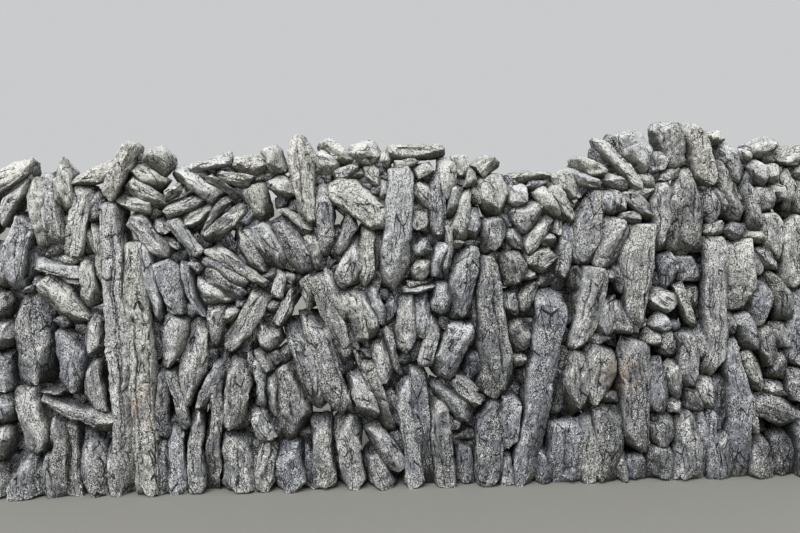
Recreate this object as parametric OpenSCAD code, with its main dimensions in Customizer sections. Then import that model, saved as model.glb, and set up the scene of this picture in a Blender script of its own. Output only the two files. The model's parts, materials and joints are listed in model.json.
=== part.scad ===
// Dry stone field wall of limestone slabs set on edge, six bays long.
// Every stone is a loose solid: nothing but its neighbours and the ground holds it.

/* [Wall] */
// Length of one bay
bay_l = 600; // [500:10:700]
// Height of the highest cope stone
wall_h = 1470; // [1300:10:1600]
// Thickness of the wall at its foot
foot_t = 340; // [300:10:400]
// Thickness of the wall at the height of the highest cope stone
top_t = 240; // [200:10:290]

/* [Stones] */
// How far the waist of a stone in the body may swell sideways to meet its neighbours
body_swell = 22; // [15:1:26]
// The same at its two ends
end_swell = 14; // [8:1:18]
// How far the waist of a cope stone may swell
cope_swell = 5; // [3:1:8]
// How far a stone of the hearting may swell
core_swell = 12; // [8:1:20]
// Width from which a stone has a flat waist instead of a keel
broad_w = 75; // [60:5:110]
// Half the depth of that flat waist
waist_half = 28; // [15:1:40]
// Gap between two stones of one group
group_gap = 3; // [2:0.5:4]
// How far the two faces of a stone stand in from its bed lines
face_inset = 4; // [3:1:7]
// Depth of the inner joint where the wall is two stones thick, behind the mid-plane
skin_y = 20; // [0:5:40]
// Seed of the small differences between stones
seed = 41; // [1:1:200]

/* [Hidden] */
NODES = [
    "split_upright", "leaning_slab", "pale_upright", "peaked_cope", "highest_cope", "leaning_block",
    "closing_stones_left", "closing_stones_right",
    "foot_stones_bay_1", "foot_stones_bay_2", "foot_stones_bay_3",
    "foot_stones_bay_4", "foot_stones_bay_5", "foot_stones_bay_6",
    "standing_stones_bay_1", "standing_stones_bay_2", "standing_stones_bay_3",
    "standing_stones_bay_4", "standing_stones_bay_5", "standing_stones_bay_6",
    "leaning_stones_bay_1", "leaning_stones_bay_2", "leaning_stones_bay_3",
    "leaning_stones_bay_4", "leaning_stones_bay_5", "leaning_stones_bay_6",
    "wedge_stones_bay_1", "wedge_stones_bay_2", "wedge_stones_bay_3",
    "wedge_stones_bay_4", "wedge_stones_bay_5", "wedge_stones_bay_6",
    "cope_stones_bay_1", "cope_stones_bay_2", "cope_stones_bay_3",
    "cope_stones_bay_4", "cope_stones_bay_5", "cope_stones_bay_6",
    "backing_stones_lower", "backing_stones_upper",
    "hearting_bay_1", "hearting_bay_2", "hearting_bay_3", "hearting_bay_4"
];

// Colours of the limestone: weathered tops, the body of the wall and its damp foot
pale_stone = [0.72, 0.71, 0.67];
grey_stone = [0.56, 0.56, 0.55];
dark_stone = [0.44, 0.45, 0.46];

// The wall was set out in centimetres, in six bays of 60 cm with its highest point at 147 cm
cm = 10;
set_out = [bay_l / 60, wall_h / 147];
half_l = 3 * bay_l;

// Where a stone lies in the thickness of the wall: from face to face, in the front or the
// back where the wall is two stones thick, or packed into a gap between the faces
THROUGH = 0;
FRONT = 1;
BACK = 2;
CORE = 3;

// Each stone is set out on the face of the wall, in centimetres, as
// [foot x, foot z, head x, head z, width at foot, width at head, set-back of its face, point]
// and a stone without a set-back gets a small one by the seed. The point is how long its head
// tapers, as a share of half its width, and most heads are blunt. A foot below zero runs into
// the ground, where the stone is cut flat.

split_upright_set = [
    [-112, -4, -116.8, 116, 9, 6.5, 0],
    [-104.8, -4, -108.5, 98.5, 9.5, 7, 0]
];
leaning_slab_set = [[45.5, -4, 58, 81, 9, 13, 0.4]];
pale_upright_set = [[91.5, 10.5, 90, 60, 9.5, 13, 0.6]];
peaked_cope_set = [[-40, 106, -44, 140.5, 6, 12.5, 0.6, 2.2]];
highest_cope_set = [[106.3, 127.5, 104.5, 146, 8.5, 12.5, 0.6]];
leaning_block_set = [[-12, 107, -30, 122, 8, 10.5, 0.5]];

closing_left_set = [
    [-173.5, -4, -172, 58, 14, 12, 0.5],
    [-172, 59, -173.5, 101, 12, 11, 1],
    [-178, 114, -168, 125, 6, 6]
];
closing_right_set = [
    [173, -4, 172.5, 59, 14, 12, 0.5],
    [172, 60, 173.5, 103, 12, 11, 1],
    [174, 111, 174.5, 124, 8, 8],
    [170.5, 132.5, 179, 130.5, 5, 5]
];

foot_1_set = [
    [-161, -4, -161, 14, 9, 6],
    [-150, -4, -151, 19, 15, 10, 0],
    [-142, -4, -142, 16, 4.5, 3.5],
    [-138.5, -4, -138, 31, 5, 4],
    [-132.5, -4, -133.5, 28, 4.5, 3],
    [-123.5, -4, -126, 26, 11, 6, 0.5]
];
foot_2_set = [
    [-115.5, -4, -118.8, 22, 7, 3.5],
    [-98.5, -4, -98, 21, 6, 4],
    [-92.5, -4, -94.5, 31, 8, 4],
    [-85.5, -4, -86, 33, 6, 4],
    [-79.5, -4, -75.8, 45, 5, 3.5],
    [-68, -4, -69.5, 30, 12, 8, 0.5],
    [-60, -4, -60, 21, 9, 7]
];
foot_3_set = [
    [-49, -4, -49, 19, 13, 10, 0.3],
    [-41, -4, -41.5, 18, 6, 4],
    [-34.5, -4, -36.5, 29, 6, 4],
    [-22.5, -4, -27, 30, 7, 6.5],
    [-9.5, -4, -15.5, 13, 12, 5, 0.5],
    [1, -4, -3.5, 45, 7.5, 6]
];
foot_4_set = [
    [6, -4, 1.7, 49, 4.5, 3.5],
    [14, -4, 10.5, 34, 6.5, 5.5],
    [20.5, -4, 21, 15, 9, 6, 5],
    [30, -4, 33, 36, 10, 8, 0.5],
    [39.5, -4, 39.5, 12, 6, 5],
    [55, -4, 53.5, 14, 5, 3]
];
foot_5_set = [
    [64, -4, 63.5, 28, 12, 9, 0.5],
    [72.5, -4, 72.8, 32, 5, 5],
    [79.3, -4, 81, 31, 10, 11.5, 0.3],
    [86.8, -4, 85.8, 13, 4, 3.5],
    [92.5, -4, 92, 10, 8, 8],
    [103, -4, 103, 13.5, 11, 8],
    [114.5, -4, 114, 30, 12, 7, 0.5]
];
foot_6_set = [
    [125.5, -4, 123, 29, 6, 4.5],
    [130.5, -4, 129.5, 20, 4.5, 4],
    [137.5, -4, 132, 57, 6, 7],
    [146.5, -4, 142, 25, 9, 4],
    [156, -4, 155, 19, 11, 9, 4],
    [164, -4, 163.5, 27, 6, 6]
];

standing_1_set = [
    [-146.5, 41, -149.5, 80, 10, 13],
    [-153.5, 81, -149.5, 110, 6, 9.5],
    [-134, 38.5, -133, 66, 6.5, 10.5],
    [-124, 33.5, -124.5, 54.5, 7.5, 4.5],
    [-164.8, 28, -165, 56, 4.5, 5.5]
];
standing_2_set = [
    [-99.8, 68.5, -105.5, 99.5, 4.5, 5],
    [-99, 22, -98.7, 48, 4.5, 4],
    [-88, 36, -83.5, 71, 8, 6],
    [-96, 50.5, -91.5, 71, 6, 11],
    [-77.7, 60, -76.5, 78, 6, 6]
];
standing_3_set = [
    [-8, 80, -3.8, 131, 11, 8, 0.4, 1.2],
    [-33.3, 94.5, -33, 122, 6, 6.5],
    [-25, 82.5, -22.5, 101, 9, 5],
    [-61.5, 31, -62.5, 53, 3.5, 4],
    [-3, 56, -1.7, 78, 5.5, 6.5]
];
standing_4_set = [
    [36, 37, 28.5, 101, 14, 4, 0.4],
    [10.5, 99.5, 9.5, 126, 7, 5.5],
    [34, 86, 33.5, 107.5, 6, 10],
    [18.5, 66, 21, 97, 9, 11],
    [60.7, 78, 61.5, 105, 5, 4]
];
standing_5_set = [
    [111, 92, 110, 127, 11, 11, 0.5],
    [101, 96, 100.5, 123, 7, 11],
    [91, 61, 92.5, 106.5, 6, 10],
    [78, 88.5, 82.5, 108, 10, 12.5],
    [70, 89, 73.5, 119, 8.5, 6],
    [114, 38.5, 112, 61, 6, 9],
    [77, 33, 78.3, 57, 8, 11]
];
standing_6_set = [
    [124.5, 44, 123.5, 100.5, 9, 10, 0.4],
    [134, 71, 133.5, 99, 9, 10],
    [138.5, 102, 137, 122, 4.5, 6],
    [157, 80, 154.5, 109, 10, 10],
    [159.5, 46, 158.5, 79, 9, 8],
    [160, 110.5, 160.5, 123.5, 6, 6]
];

leaning_1_set = [
    [-145, 18, -153, 45, 10, 5],
    [-144, 39.5, -118, 29.5, 3, 8.5],
    [-127, 67, -142, 86, 7, 10],
    [-146.5, 91, -129.5, 88, 4, 5.5],
    [-132, 91.5, -125.2, 122.5, 5, 8.5],
    [-157.5, 106.5, -145.5, 124.5, 7, 5.5]
];
leaning_2_set = [
    [-74.5, 54, -58, 81, 9, 9],
    [-73.2, 20, -66, 57, 7, 9],
    [-89.5, 26, -94.5, 51, 4, 5],
    [-84.5, 34, -75.5, 52, 6, 8],
    [-95.5, 94.5, -107.5, 109.5, 7.5, 8],
    [-82.5, 94, -93.5, 109, 6.5, 6.5],
    [-79, 100.5, -66, 112.5, 7, 6.5],
    [-58, 82, -79, 97.5, 4, 7]
];
leaning_3_set = [
    [-36, 34, -46.5, 66.5, 9, 9.5],
    [-28.5, 29, -39.5, 70.5, 9.5, 10],
    [-45.5, 20.5, -51, 51, 10, 11.5],
    [-8.5, 22.5, -18.5, 51, 5, 6.5],
    [-5.5, 8.5, -16.5, 24.5, 7.5, 7],
    [-41.5, 87.5, -52.5, 109, 7, 6.5],
    [-25.5, 51, -36.5, 86, 7.5, 7],
    [-55, 62, -45, 82, 5, 5.5]
];
leaning_4_set = [
    [8.5, 40.5, 24.5, 26.5, 5, 9.5],
    [17, 43, 29, 32, 5, 8.5],
    [12, 45, 21, 66, 8, 8],
    [42, 105, 51, 114, 8, 7.5],
    [46, 96.5, 56.5, 108, 6, 6],
    [48, 88.5, 58, 94, 7.5, 8],
    [38.5, 13, 39.5, 36.5, 5.5, 7.5],
    [42, 79.8, 41, 95, 10, 10.5]
];
leaning_5_set = [
    [67, 54, 74, 88, 8, 12.5],
    [71, 24, 66, 53, 7, 9],
    [98.5, 69.5, 105, 78, 8.5, 9],
    [97, 109, 85.5, 119, 4.5, 6],
    [105, 14.5, 103.5, 27.5, 8, 5],
    [117, 63, 108.5, 83, 4, 5]
];
leaning_6_set = [
    [134, 108, 123.5, 130, 7, 6],
    [148.5, 92, 143.5, 110, 7, 9],
    [153.5, 66, 149, 85, 7, 7.5],
    [149, 47, 144.5, 63.5, 5.5, 5.5],
    [142, 54, 134.5, 69, 5.5, 5.5],
    [159, 25, 143, 32.5, 8, 8, 0.3],
    [163, 107.5, 178, 106.5, 6.5, 7]
];

wedge_1_set = [
    [-140.6, 106, -141.4, 123, 2.5, 3],
    [-149, 85, -146.2, 99, 4.5, 4.5, 8],
    [-150.5, 82.3, -144, 84.3, 3, 3.5],
    [-138.5, 86, -129.5, 82.5, 3, 5],
    [-124.8, 75.5, -127.5, 99.5, 6.5, 4.5],
    [-123.5, 96, -125.6, 104, 3.5, 3.5],
    [-121.3, 85, -122.5, 107, 3.5, 3],
    [-123.7, 56, -123.5, 71.5, 4, 4],
    [-128, 53, -128, 63, 2.5, 2.5, 6],
    [-145, 41, -137, 41, 3, 3.5],
    [-160, 42, -159.5, 58, 6.5, 6],
    [-160.5, 28.5, -160, 41, 6.5, 7],
    [-161, 15, -161.5, 27.5, 6, 6],
    [-160.5, 60, -158.5, 69, 7, 7],
    [-160, 71, -158.5, 80, 7, 6.5],
    [-159.5, 82, -159, 98.5, 8, 7],
    [-166, 58, -166, 78, 4.5, 5],
    [-166, 80, -165.5, 100, 5, 5],
    [-176, 107, -161, 105.5, 7, 7]
];
wedge_2_set = [
    [-95, 110, -82, 116, 3.5, 4],
    [-89.5, 108, -79, 113.3, 4, 4],
    [-82.5, 103.5, -72.5, 115.5, 3, 3.2],
    [-93.5, 101.5, -98.5, 110, 4.5, 5],
    [-91.5, 95.8, -98, 103, 3.5, 3.5],
    [-91, 72.5, -96.5, 91.5, 6, 8.5],
    [-81.5, 71, -89.8, 94.5, 4, 4.5],
    [-84.5, 87.5, -84, 93, 5, 5, 7],
    [-66, 82.5, -80, 93.5, 6, 6],
    [-67, 78, -82, 89.5, 5, 5],
    [-69.5, 74.5, -85, 85.5, 4.5, 5],
    [-73.5, 69, -72.5, 75, 4.5, 4.5],
    [-66.5, 31, -66.5, 36, 4.5, 3.5, 8],
    [-57.8, 86, -67.5, 104, 4.5, 5.5]
];
wedge_3_set = [
    [-55, 88, -64, 104.5, 4.5, 4.5],
    [-49.8, 89.5, -62, 107.5, 5.5, 5.5],
    [-37, 88.5, -40.5, 103, 3.5, 5],
    [-29.5, 92.5, -24, 109, 6, 6],
    [-17.8, 83, -17.8, 107, 4.5, 5],
    [-13.5, 85, -13.3, 105.5, 5, 5, 7],
    [-54, 76, -51.7, 88, 5, 5],
    [-56, 71, -52.8, 75.5, 5, 4.5],
    [-49.5, 82.5, -48.5, 88.5, 3.5, 3.5],
    [-39, 74, -42.5, 85.5, 4.5, 6],
    [-26.5, 68, -32.5, 88.5, 4, 4.5],
    [-53.5, 54.5, -59, 70, 6, 5.5],
    [-19.5, 58.5, -25.5, 80, 7, 7],
    [-15.5, 61, -19.5, 80, 5, 4.5],
    [-12, 65, -16.5, 81.5, 4, 4.5],
    [-9, 41, -12, 59.5, 6.5, 6],
    [-6, 44.5, -10.5, 65, 3.5, 4],
    [-56.5, 46, -60.5, 57, 3, 3.5],
    [-55, 30, -55.8, 48.5, 4.5, 4.5],
    [-57.5, 21, -61.5, 34, 5, 4.5],
    [-24, 31, -27.3, 43, 2.5, 2.5],
    [-14.5, 29, -24, 46, 5, 6],
    [-11, 66, -9, 78, 4, 4.5, 5]
];
wedge_4_set = [
    [6.5, 112, 2.5, 121.5, 4.5, 4],
    [3.5, 102.5, 2.3, 111.3, 4.5, 4.5],
    [24, 98, 24, 112, 4.5, 4.5],
    [44.5, 96, 41, 104, 3.5, 5.5],
    [51.5, 101, 56.5, 97.5, 4.5, 5],
    [57.7, 101.5, 59.2, 106.5, 3, 3],
    [3.2, 60.5, 4, 78, 5, 5.5],
    [-3.5, 80, 8.8, 80.3, 3.5, 4.5],
    [1.5, 86, 7.5, 90.5, 4, 4],
    [3.5, 92.5, 6.3, 103.5, 6, 7],
    [9, 83, 11.5, 99, 4.5, 4.5],
    [13.5, 86, 14.5, 108, 3, 3.5],
    [10.3, 70.5, 14, 86, 5, 6],
    [5, 48, 8.8, 69.5, 4.5, 5],
    [25.5, 56, 27, 86, 5, 4, 8],
    [40.3, 68, 39, 78.5, 5.5, 6.5],
    [45.8, 67.8, 48.2, 82.5, 6, 4.5],
    [45.8, 53.5, 43.5, 66.5, 6.5, 7],
    [43.5, 49.5, 42.3, 54, 4, 4],
    [18.5, 47, 27.3, 39, 3, 4],
    [16, 18, 26, 19.5, 3, 3, 9],
    [14, 110, 18.3, 121.5, 3.5, 4.5]
];
wedge_5_set = [
    [78.3, 109.3, 77.8, 119, 7, 6.5],
    [84, 109.5, 82.5, 118, 4.5, 4.5],
    [85, 108.5, 91, 107, 4, 4.5],
    [66, 90, 64, 106, 5, 5],
    [97, 118, 94.5, 125, 4, 5],
    [86.3, 76, 84.8, 91, 6, 4, 5],
    [79.5, 58, 79, 75.5, 7.5, 6],
    [79, 82, 79.5, 87.5, 4, 5],
    [87, 61, 84.8, 73.5, 5, 5],
    [99.5, 62.3, 104.5, 68.3, 8, 7],
    [106, 80, 104.5, 95, 5.5, 5.5],
    [112, 80.5, 110, 91.5, 6, 7.5],
    [96.2, 53, 98.7, 61, 5.5, 5],
    [115, 70, 115.5, 81, 4.5, 5, 5],
    [59, 24, 63, 55, 6, 7, 7],
    [100, 28, 100.5, 50.5, 6, 6.5],
    [106.5, 34.5, 107, 50, 4, 7],
    [111, 27, 106.5, 33, 4, 4],
    [117.5, 30, 115.8, 39.5, 5.5, 5],
    [121.3, 6, 118.8, 28, 3.5, 3.5],
    [105.5, 52, 107, 61, 6.5, 6, 4],
    [117.5, 49, 118.5, 62, 4, 4.5, 4],
    [66.5, 79, 65.5, 88.5, 5, 5, 4]
];
wedge_6_set = [
    [127, 109, 123.8, 119.5, 6, 6.5],
    [120.3, 106, 121.2, 119, 3, 3.2],
    [143, 111, 144.5, 120, 5, 5.5],
    [121.5, 101.5, 126, 107, 6, 6],
    [129, 100, 132.5, 106, 6, 5],
    [136.8, 100, 143.2, 98.3, 4, 4.5],
    [147, 87, 142.5, 95.5, 6, 5.5],
    [141.5, 64, 143, 79.5, 4.5, 8],
    [154, 54.5, 152.5, 66, 5, 6.5],
    [120.7, 30, 121, 44, 2.5, 4.5],
    [127.5, 21, 126.8, 44, 5, 6, 5],
    [142.3, 37, 138, 52, 5.5, 6.5],
    [141.3, 12, 137.8, 35, 4, 5],
    [156.5, 34, 145, 38.3, 3.5, 3],
    [160.5, 33, 159, 45, 7, 7],
    [166, 29, 166, 58, 5, 5.5],
    [166, 60, 166, 79.5, 6, 5.5],
    [166, 81, 166, 101.5, 6.5, 6.5],
    [167, 112, 167.3, 123.5, 6.5, 6],
    [152, 40, 153, 52, 7, 6, 3],
    [141, 82, 139.5, 93, 5.5, 5, 4],
    [131, 60, 128.5, 70, 5, 5, 4]
];

cope_1_set = [
    [-166.5, 114.5, -146.8, 131.5, 6, 5.5, 1, 1.4],
    [-142.5, 98.5, -145.3, 124.5, 5.5, 6.5],
    [-136.6, 100, -139.7, 126, 7, 3.5],
    [-135.3, 114, -137.2, 124.5, 3, 3],
    [-133.5, 112, -134.5, 130.5, 4, 5, 1, 2],
    [-130, 121.5, -116.5, 129, 4, 6]
];
cope_2_set = [
    [-119, 117, -106.3, 137.5, 6.5, 7, -1.5],
    [-94, 127.5, -100.5, 135, 8, 8],
    [-95.5, 121, -108.7, 128.5, 8, 7],
    [-95.3, 112.5, -109, 123, 6, 7],
    [-114, 116.8, -101.7, 112, 4.5, 5.5],
    [-96.5, 117, -88.5, 121.3, 4, 4],
    [-75.5, 117, -90.5, 128, 7, 7],
    [-85.5, 127.3, -69, 131.5, 3, 5],
    [-72, 128.8, -56.5, 129.5, 5, 7],
    [-75.5, 126, -61.5, 123.3, 5, 5],
    [-67.5, 115.5, -78.5, 125.5, 5, 6]
];
cope_3_set = [
    [-56.5, 106, -62.5, 123, 5, 10],
    [-50.4, 124, -55.8, 136, 4.5, 6],
    [-46.5, 116.5, -55, 125.5, 5, 5.5],
    [-38.5, 105.5, -50, 113.5, 5.5, 6],
    [-29.5, 127, -38, 132, 7, 7.5],
    [-24, 130.8, -34.5, 138, 4.5, 4.5],
    [-22.5, 132, -13, 135, 9, 8],
    [-22, 121.3, -20.5, 128.5, 5, 4, 6],
    [-14, 121, -17, 130.5, 6, 7],
    [-11.3, 116, -11, 124, 3.5, 4],
    [-9, 124.5, -10.7, 134, 4, 4.5]
];
cope_4_set = [
    [-8.5, 133.5, 12, 134.3, 5.5, 5],
    [0.8, 125.8, 8, 127.8, 6.5, 5],
    [14.2, 115.5, 13.2, 132.5, 5, 6.5],
    [19.8, 124.8, 18.8, 133, 4.5, 5.5],
    [22, 120, 23.3, 128.3, 4.5, 5],
    [18.3, 100, 23, 119.5, 7, 5.5],
    [25.8, 125.5, 33.3, 132, 5.5, 5],
    [35.5, 110, 30.7, 125, 9, 10.5],
    [44, 113, 40.7, 123, 6.5, 6],
    [39, 123.3, 56, 123.6, 4.5, 5, 5],
    [57.5, 109, 50.5, 120, 4.5, 4.5]
];
cope_5_set = [
    [65, 108, 55.8, 120.5, 5.5, 5],
    [67, 114.5, 59.8, 126, 7.5, 8],
    [77.5, 119.8, 63, 126.8, 4.5, 5],
    [80, 125, 65.8, 130.3, 4.5, 5.5],
    [87, 120.3, 76, 124, 4.5, 4.5],
    [94, 118, 74.5, 139, 6, 6, 1, 2.2],
    [93.3, 126.8, 86.3, 142, 8.5, 12, 0.8],
    [100.5, 125, 98.5, 134, 8, 7],
    [101.8, 122, 102.8, 125, 3, 3],
    [117.6, 120.5, 112.8, 145.3, 8.5, 9, 0.8, 1.1],
    [118, 139.7, 124.5, 140.3, 4, 4]
];
cope_6_set = [
    [134.5, 123.5, 124, 137, 7, 9],
    [143.5, 122, 138, 130.3, 5.5, 4.5],
    [138.5, 129.7, 132.7, 134, 3.8, 3.5],
    [137, 132.8, 147.5, 137, 5, 7.5],
    [148.5, 132, 168.5, 134, 6, 6.5],
    [147, 121, 144.5, 129.3, 4.5, 5],
    [149.5, 108, 148, 122, 4.5, 5],
    [154.3, 111, 152, 127.5, 5.5, 6.5],
    [157, 126.8, 169, 127.3, 5, 4.5]
];

// The backing of the two bays that show no daylight: courses of broad stones
backing_rise = 29;
backing_foot = -4;
backing_pitch = 15;
backing_x = [66, 176];
backing_courses = 4;
backing_w = 13;

// The hearting: small stones packed between the others, well behind both faces. Where
// nothing is listed the gap stays open.
hearting_1_set = [
    [-152, 106.5, -151, 110.5, 5, 5],
    [-148.5, 83.5, -144.5, 86, 3, 3],
    [-140.5, 95.5, -136.5, 96.5, 4, 4],
    [-137.5, 68.5, -135, 68.5, 2.5, 2.5],
    [-134, 93, -130.5, 94, 2.5, 2.5],
    [-122.3, 109, -121.8, 118, 3, 3],
    [-122.3, 72, -121.3, 76, 2.5, 2.5]
];
hearting_2_set = [
    [-101, 109, -98.5, 112, 3, 3],
    [-100.5, 55, -100.5, 67, 3, 3],
    [-93, 93, -89.5, 94.5, 3, 3],
    [-91, 116, -86, 119, 2, 2],
    [-87.5, 72.5, -86, 75.5, 3, 3],
    [-89, 110, -83, 113, 2, 2],
    [-85, 88, -83.5, 91, 3.5, 3.5],
    [-81, 50, -79.5, 57, 4, 4],
    [-79, 107, -73.5, 114, 3, 3],
    [-80, 127, -73, 127.5, 2.5, 2.5],
    [-74.5, 41, -74, 51, 3, 3],
    [-71.5, 98, -69.5, 103, 5, 5],
    [-66.5, 107, -64.5, 112, 5, 5],
    [-74, 66, -71, 72, 3, 3],
    [-69.5, 74, -67, 78.5, 3, 3],
    [-65.5, 27.5, -65.5, 30.5, 3, 3],
    [-63.5, 49, -64.5, 55, 3, 3.5],
    [-64.5, 61, -62, 65, 3, 3],
    [-80, 108, -76.5, 114.5, 3, 3],
    [-83, 103.5, -80, 97, 3, 3],
    [-68.5, 120, -65.5, 114.5, 3.5, 3.5],
    [-69, 107, -66.5, 105, 3, 3],
    [-84, 126.6, -79.5, 125, 2, 2.5],
    [-75, 128.3, -70.5, 127.8, 2, 2],
    [-76, 60.5, -73, 66, 2, 2.5],
    [-66.5, 78.5, -62.5, 82.5, 2.5, 2.5],
    [-67, 57, -64.5, 59, 3, 3]
];
hearting_3_set = [
    [-60.5, 123.5, -58.5, 125, 3, 3],
    [-57, 84.5, -55.5, 87.5, 3.5, 3],
    [-54.5, 21.5, -54.5, 27, 3, 3],
    [-50.5, 113, -49.5, 117, 4, 3],
    [-51, 52.5, -48, 56, 3, 3],
    [-50.5, 79, -50, 86, 3, 3],
    [-45, 105.5, -41.5, 104, 2.5, 2.5],
    [-37.3, 105, -37.5, 121, 3, 3],
    [-30, 95, -29.5, 103, 3.5, 3.5],
    [-30.5, 113, -30.5, 119, 3, 4],
    [-29, 47, -31.5, 60, 2.5, 2.5],
    [-24, 49, -22, 54, 3, 4],
    [-21, 56, -22.5, 62, 3, 3],
    [-19, 116.5, -13.5, 113, 2.5, 3],
    [-13.5, 118.5, -13.5, 122, 3, 3],
    [-14.5, 79, -12.5, 82.5, 3, 3],
    [-12.5, 126, -12.3, 131, 2, 2],
    [-12.5, 60.5, -10.5, 63, 2, 2],
    [-8, 24, -9.5, 38, 4, 5],
    [-3.5, 50, 0, 53, 4, 4],
    [-55.3, 125.5, -54.3, 123.5, 2, 2.2],
    [-48, 114.5, -42.5, 110.5, 2.5, 2.5],
    [-37.3, 122, -38, 128, 2.5, 2.5],
    [-35.5, 91.5, -31, 90, 4.5, 4],
    [-36.5, 97, -37, 105, 2.5, 2.5],
    [-25.5, 110, -28, 115, 3.5, 3],
    [-20, 121.5, -16.5, 121.5, 3, 3],
    [-10.5, 126.5, -9.5, 123.5, 2.5, 2.5],
    [-59.5, 72, -56.5, 71, 3, 3],
    [-54.5, 54.5, -54, 51.5, 3, 3],
    [-20.5, 55.5, -18, 52, 3, 3],
    [-11.8, 77, -11, 81, 2.5, 2.5],
    [-6.5, 15, -5.5, 21, 2.5, 3]
];
hearting_4_set = [
    [0, 88, -0.3, 104, 2, 2],
    [0, 82.5, 7.5, 82.8, 3, 3],
    [2, 123, 6.5, 124.5, 2.5, 2.5],
    [6, 106.5, 6.3, 111, 3, 3],
    [2, 53, 2, 58, 2.5, 3],
    [13, 64.5, 13.8, 69.5, 2.5, 2.5],
    [16, 24.5, 18.5, 26.5, 4, 4],
    [18, 121.5, 19, 124, 2, 2],
    [20, 98.5, 26, 98.3, 2, 2],
    [25.5, 44, 25.5, 54, 4, 4],
    [26.3, 115, 26, 121, 2.5, 2.5],
    [38, 105, 38.5, 109, 2.5, 2.5],
    [50, 84.5, 57, 82.5, 4, 4],
    [47.5, 121.5, 53, 121.5, 3, 3]
];

// Gaps that stay open right through the wall
daylight_set = [
    [-156.5, 101, -155.5, 105, 2.5, 2.5],
    [-149, 110.5, -149.3, 113.5, 2, 2],
    [-145, 85.5, -144.8, 89.5, 2.5, 2],
    [-138.8, 53, -138.3, 68, 1.8, 1.8],
    [-154, 46, -154, 62, 2.5, 2.5],
    [-107.5, 102, -109.5, 108, 2, 2],
    [-93, 98.5, -92, 101.5, 2.5, 2],
    [-98, 71, -98.5, 78, 2.5, 2],
    [-88, 76, -89, 83, 2.5, 2.5],
    [-80.3, 79, -80.3, 83, 3, 2],
    [-93, 52.5, -95.5, 56, 3.5, 3],
    [-95, 31, -96.3, 38.5, 2.5, 1.5],
    [-117, 119.5, -117.5, 124, 2.5, 2.5],
    [-84, 104.5, -84.5, 107.5, 2.5, 2.5],
    [-53.3, 109, -53.7, 117, 2.2, 2.2],
    [-29, 105.5, -29, 110.5, 2.5, 2],
    [-23, 102.5, -23.8, 105.5, 2.5, 2.5],
    [-45.5, 72, -42.5, 76, 2.5, 4],
    [-51.5, 56.5, -54, 60, 2.5, 2.5],
    [-71, 73.5, -71, 77, 2.5, 2],
    [-62.3, 56.5, -61.7, 60, 2.5, 2],
    [5, 130, 8.5, 131.3, 2, 2],
    [26.5, 104, 27, 111, 3, 3],
    [46.5, 115.5, 47.5, 118.5, 3, 2.5],
    [-25, 34, -27, 43, 3, 2],
    [-40.5, 33, -43, 44, 2, 1.5],
    [21.3, 46, 22, 50, 3, 3],
    [7, 41, 5.5, 45, 2, 2]
];

// A seeded value between a and b, the same each time for stone i and use k
function vary(a, b, i, k) = rands(a, b, 1, seed + 37 * i + 1009 * k)[0];

// The backing stone n of course c, set out as the others are
function backing_row(c, n) =
    let (
        shift = (c % 2) * backing_pitch / 2,
        x = backing_x[0] + n * backing_pitch + shift + vary(-2, 2, 40 * c + n, 11),
        lean = vary(-4, 4, 40 * c + n, 12),
        foot = c == 0 ? backing_foot : c * backing_rise + vary(-3, 3, 40 * c + n, 13),
        head = (c + 1) * backing_rise + vary(-3, 3, 40 * c + n, 14)
    )
    [x, foot, min(x + lean, backing_x[1]), head, backing_w, backing_w];

function backing_course(c) =
    [for (n = [0 : (backing_x[1] - backing_x[0]) / backing_pitch - (c % 2)]) backing_row(c, n)];

backing_lower_set = [for (c = [0 : backing_courses / 2 - 1]) each backing_course(c)];
backing_upper_set = [for (c = [backing_courses / 2 : backing_courses - 1]) each backing_course(c)];

// How far the waists of a group swell, sideways and at their ends
IN_BODY = [body_swell, end_swell];
IN_COPE = [cope_swell, cope_swell];
IN_CORE = [core_swell, core_swell];
NONE = [0, 0];

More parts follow.
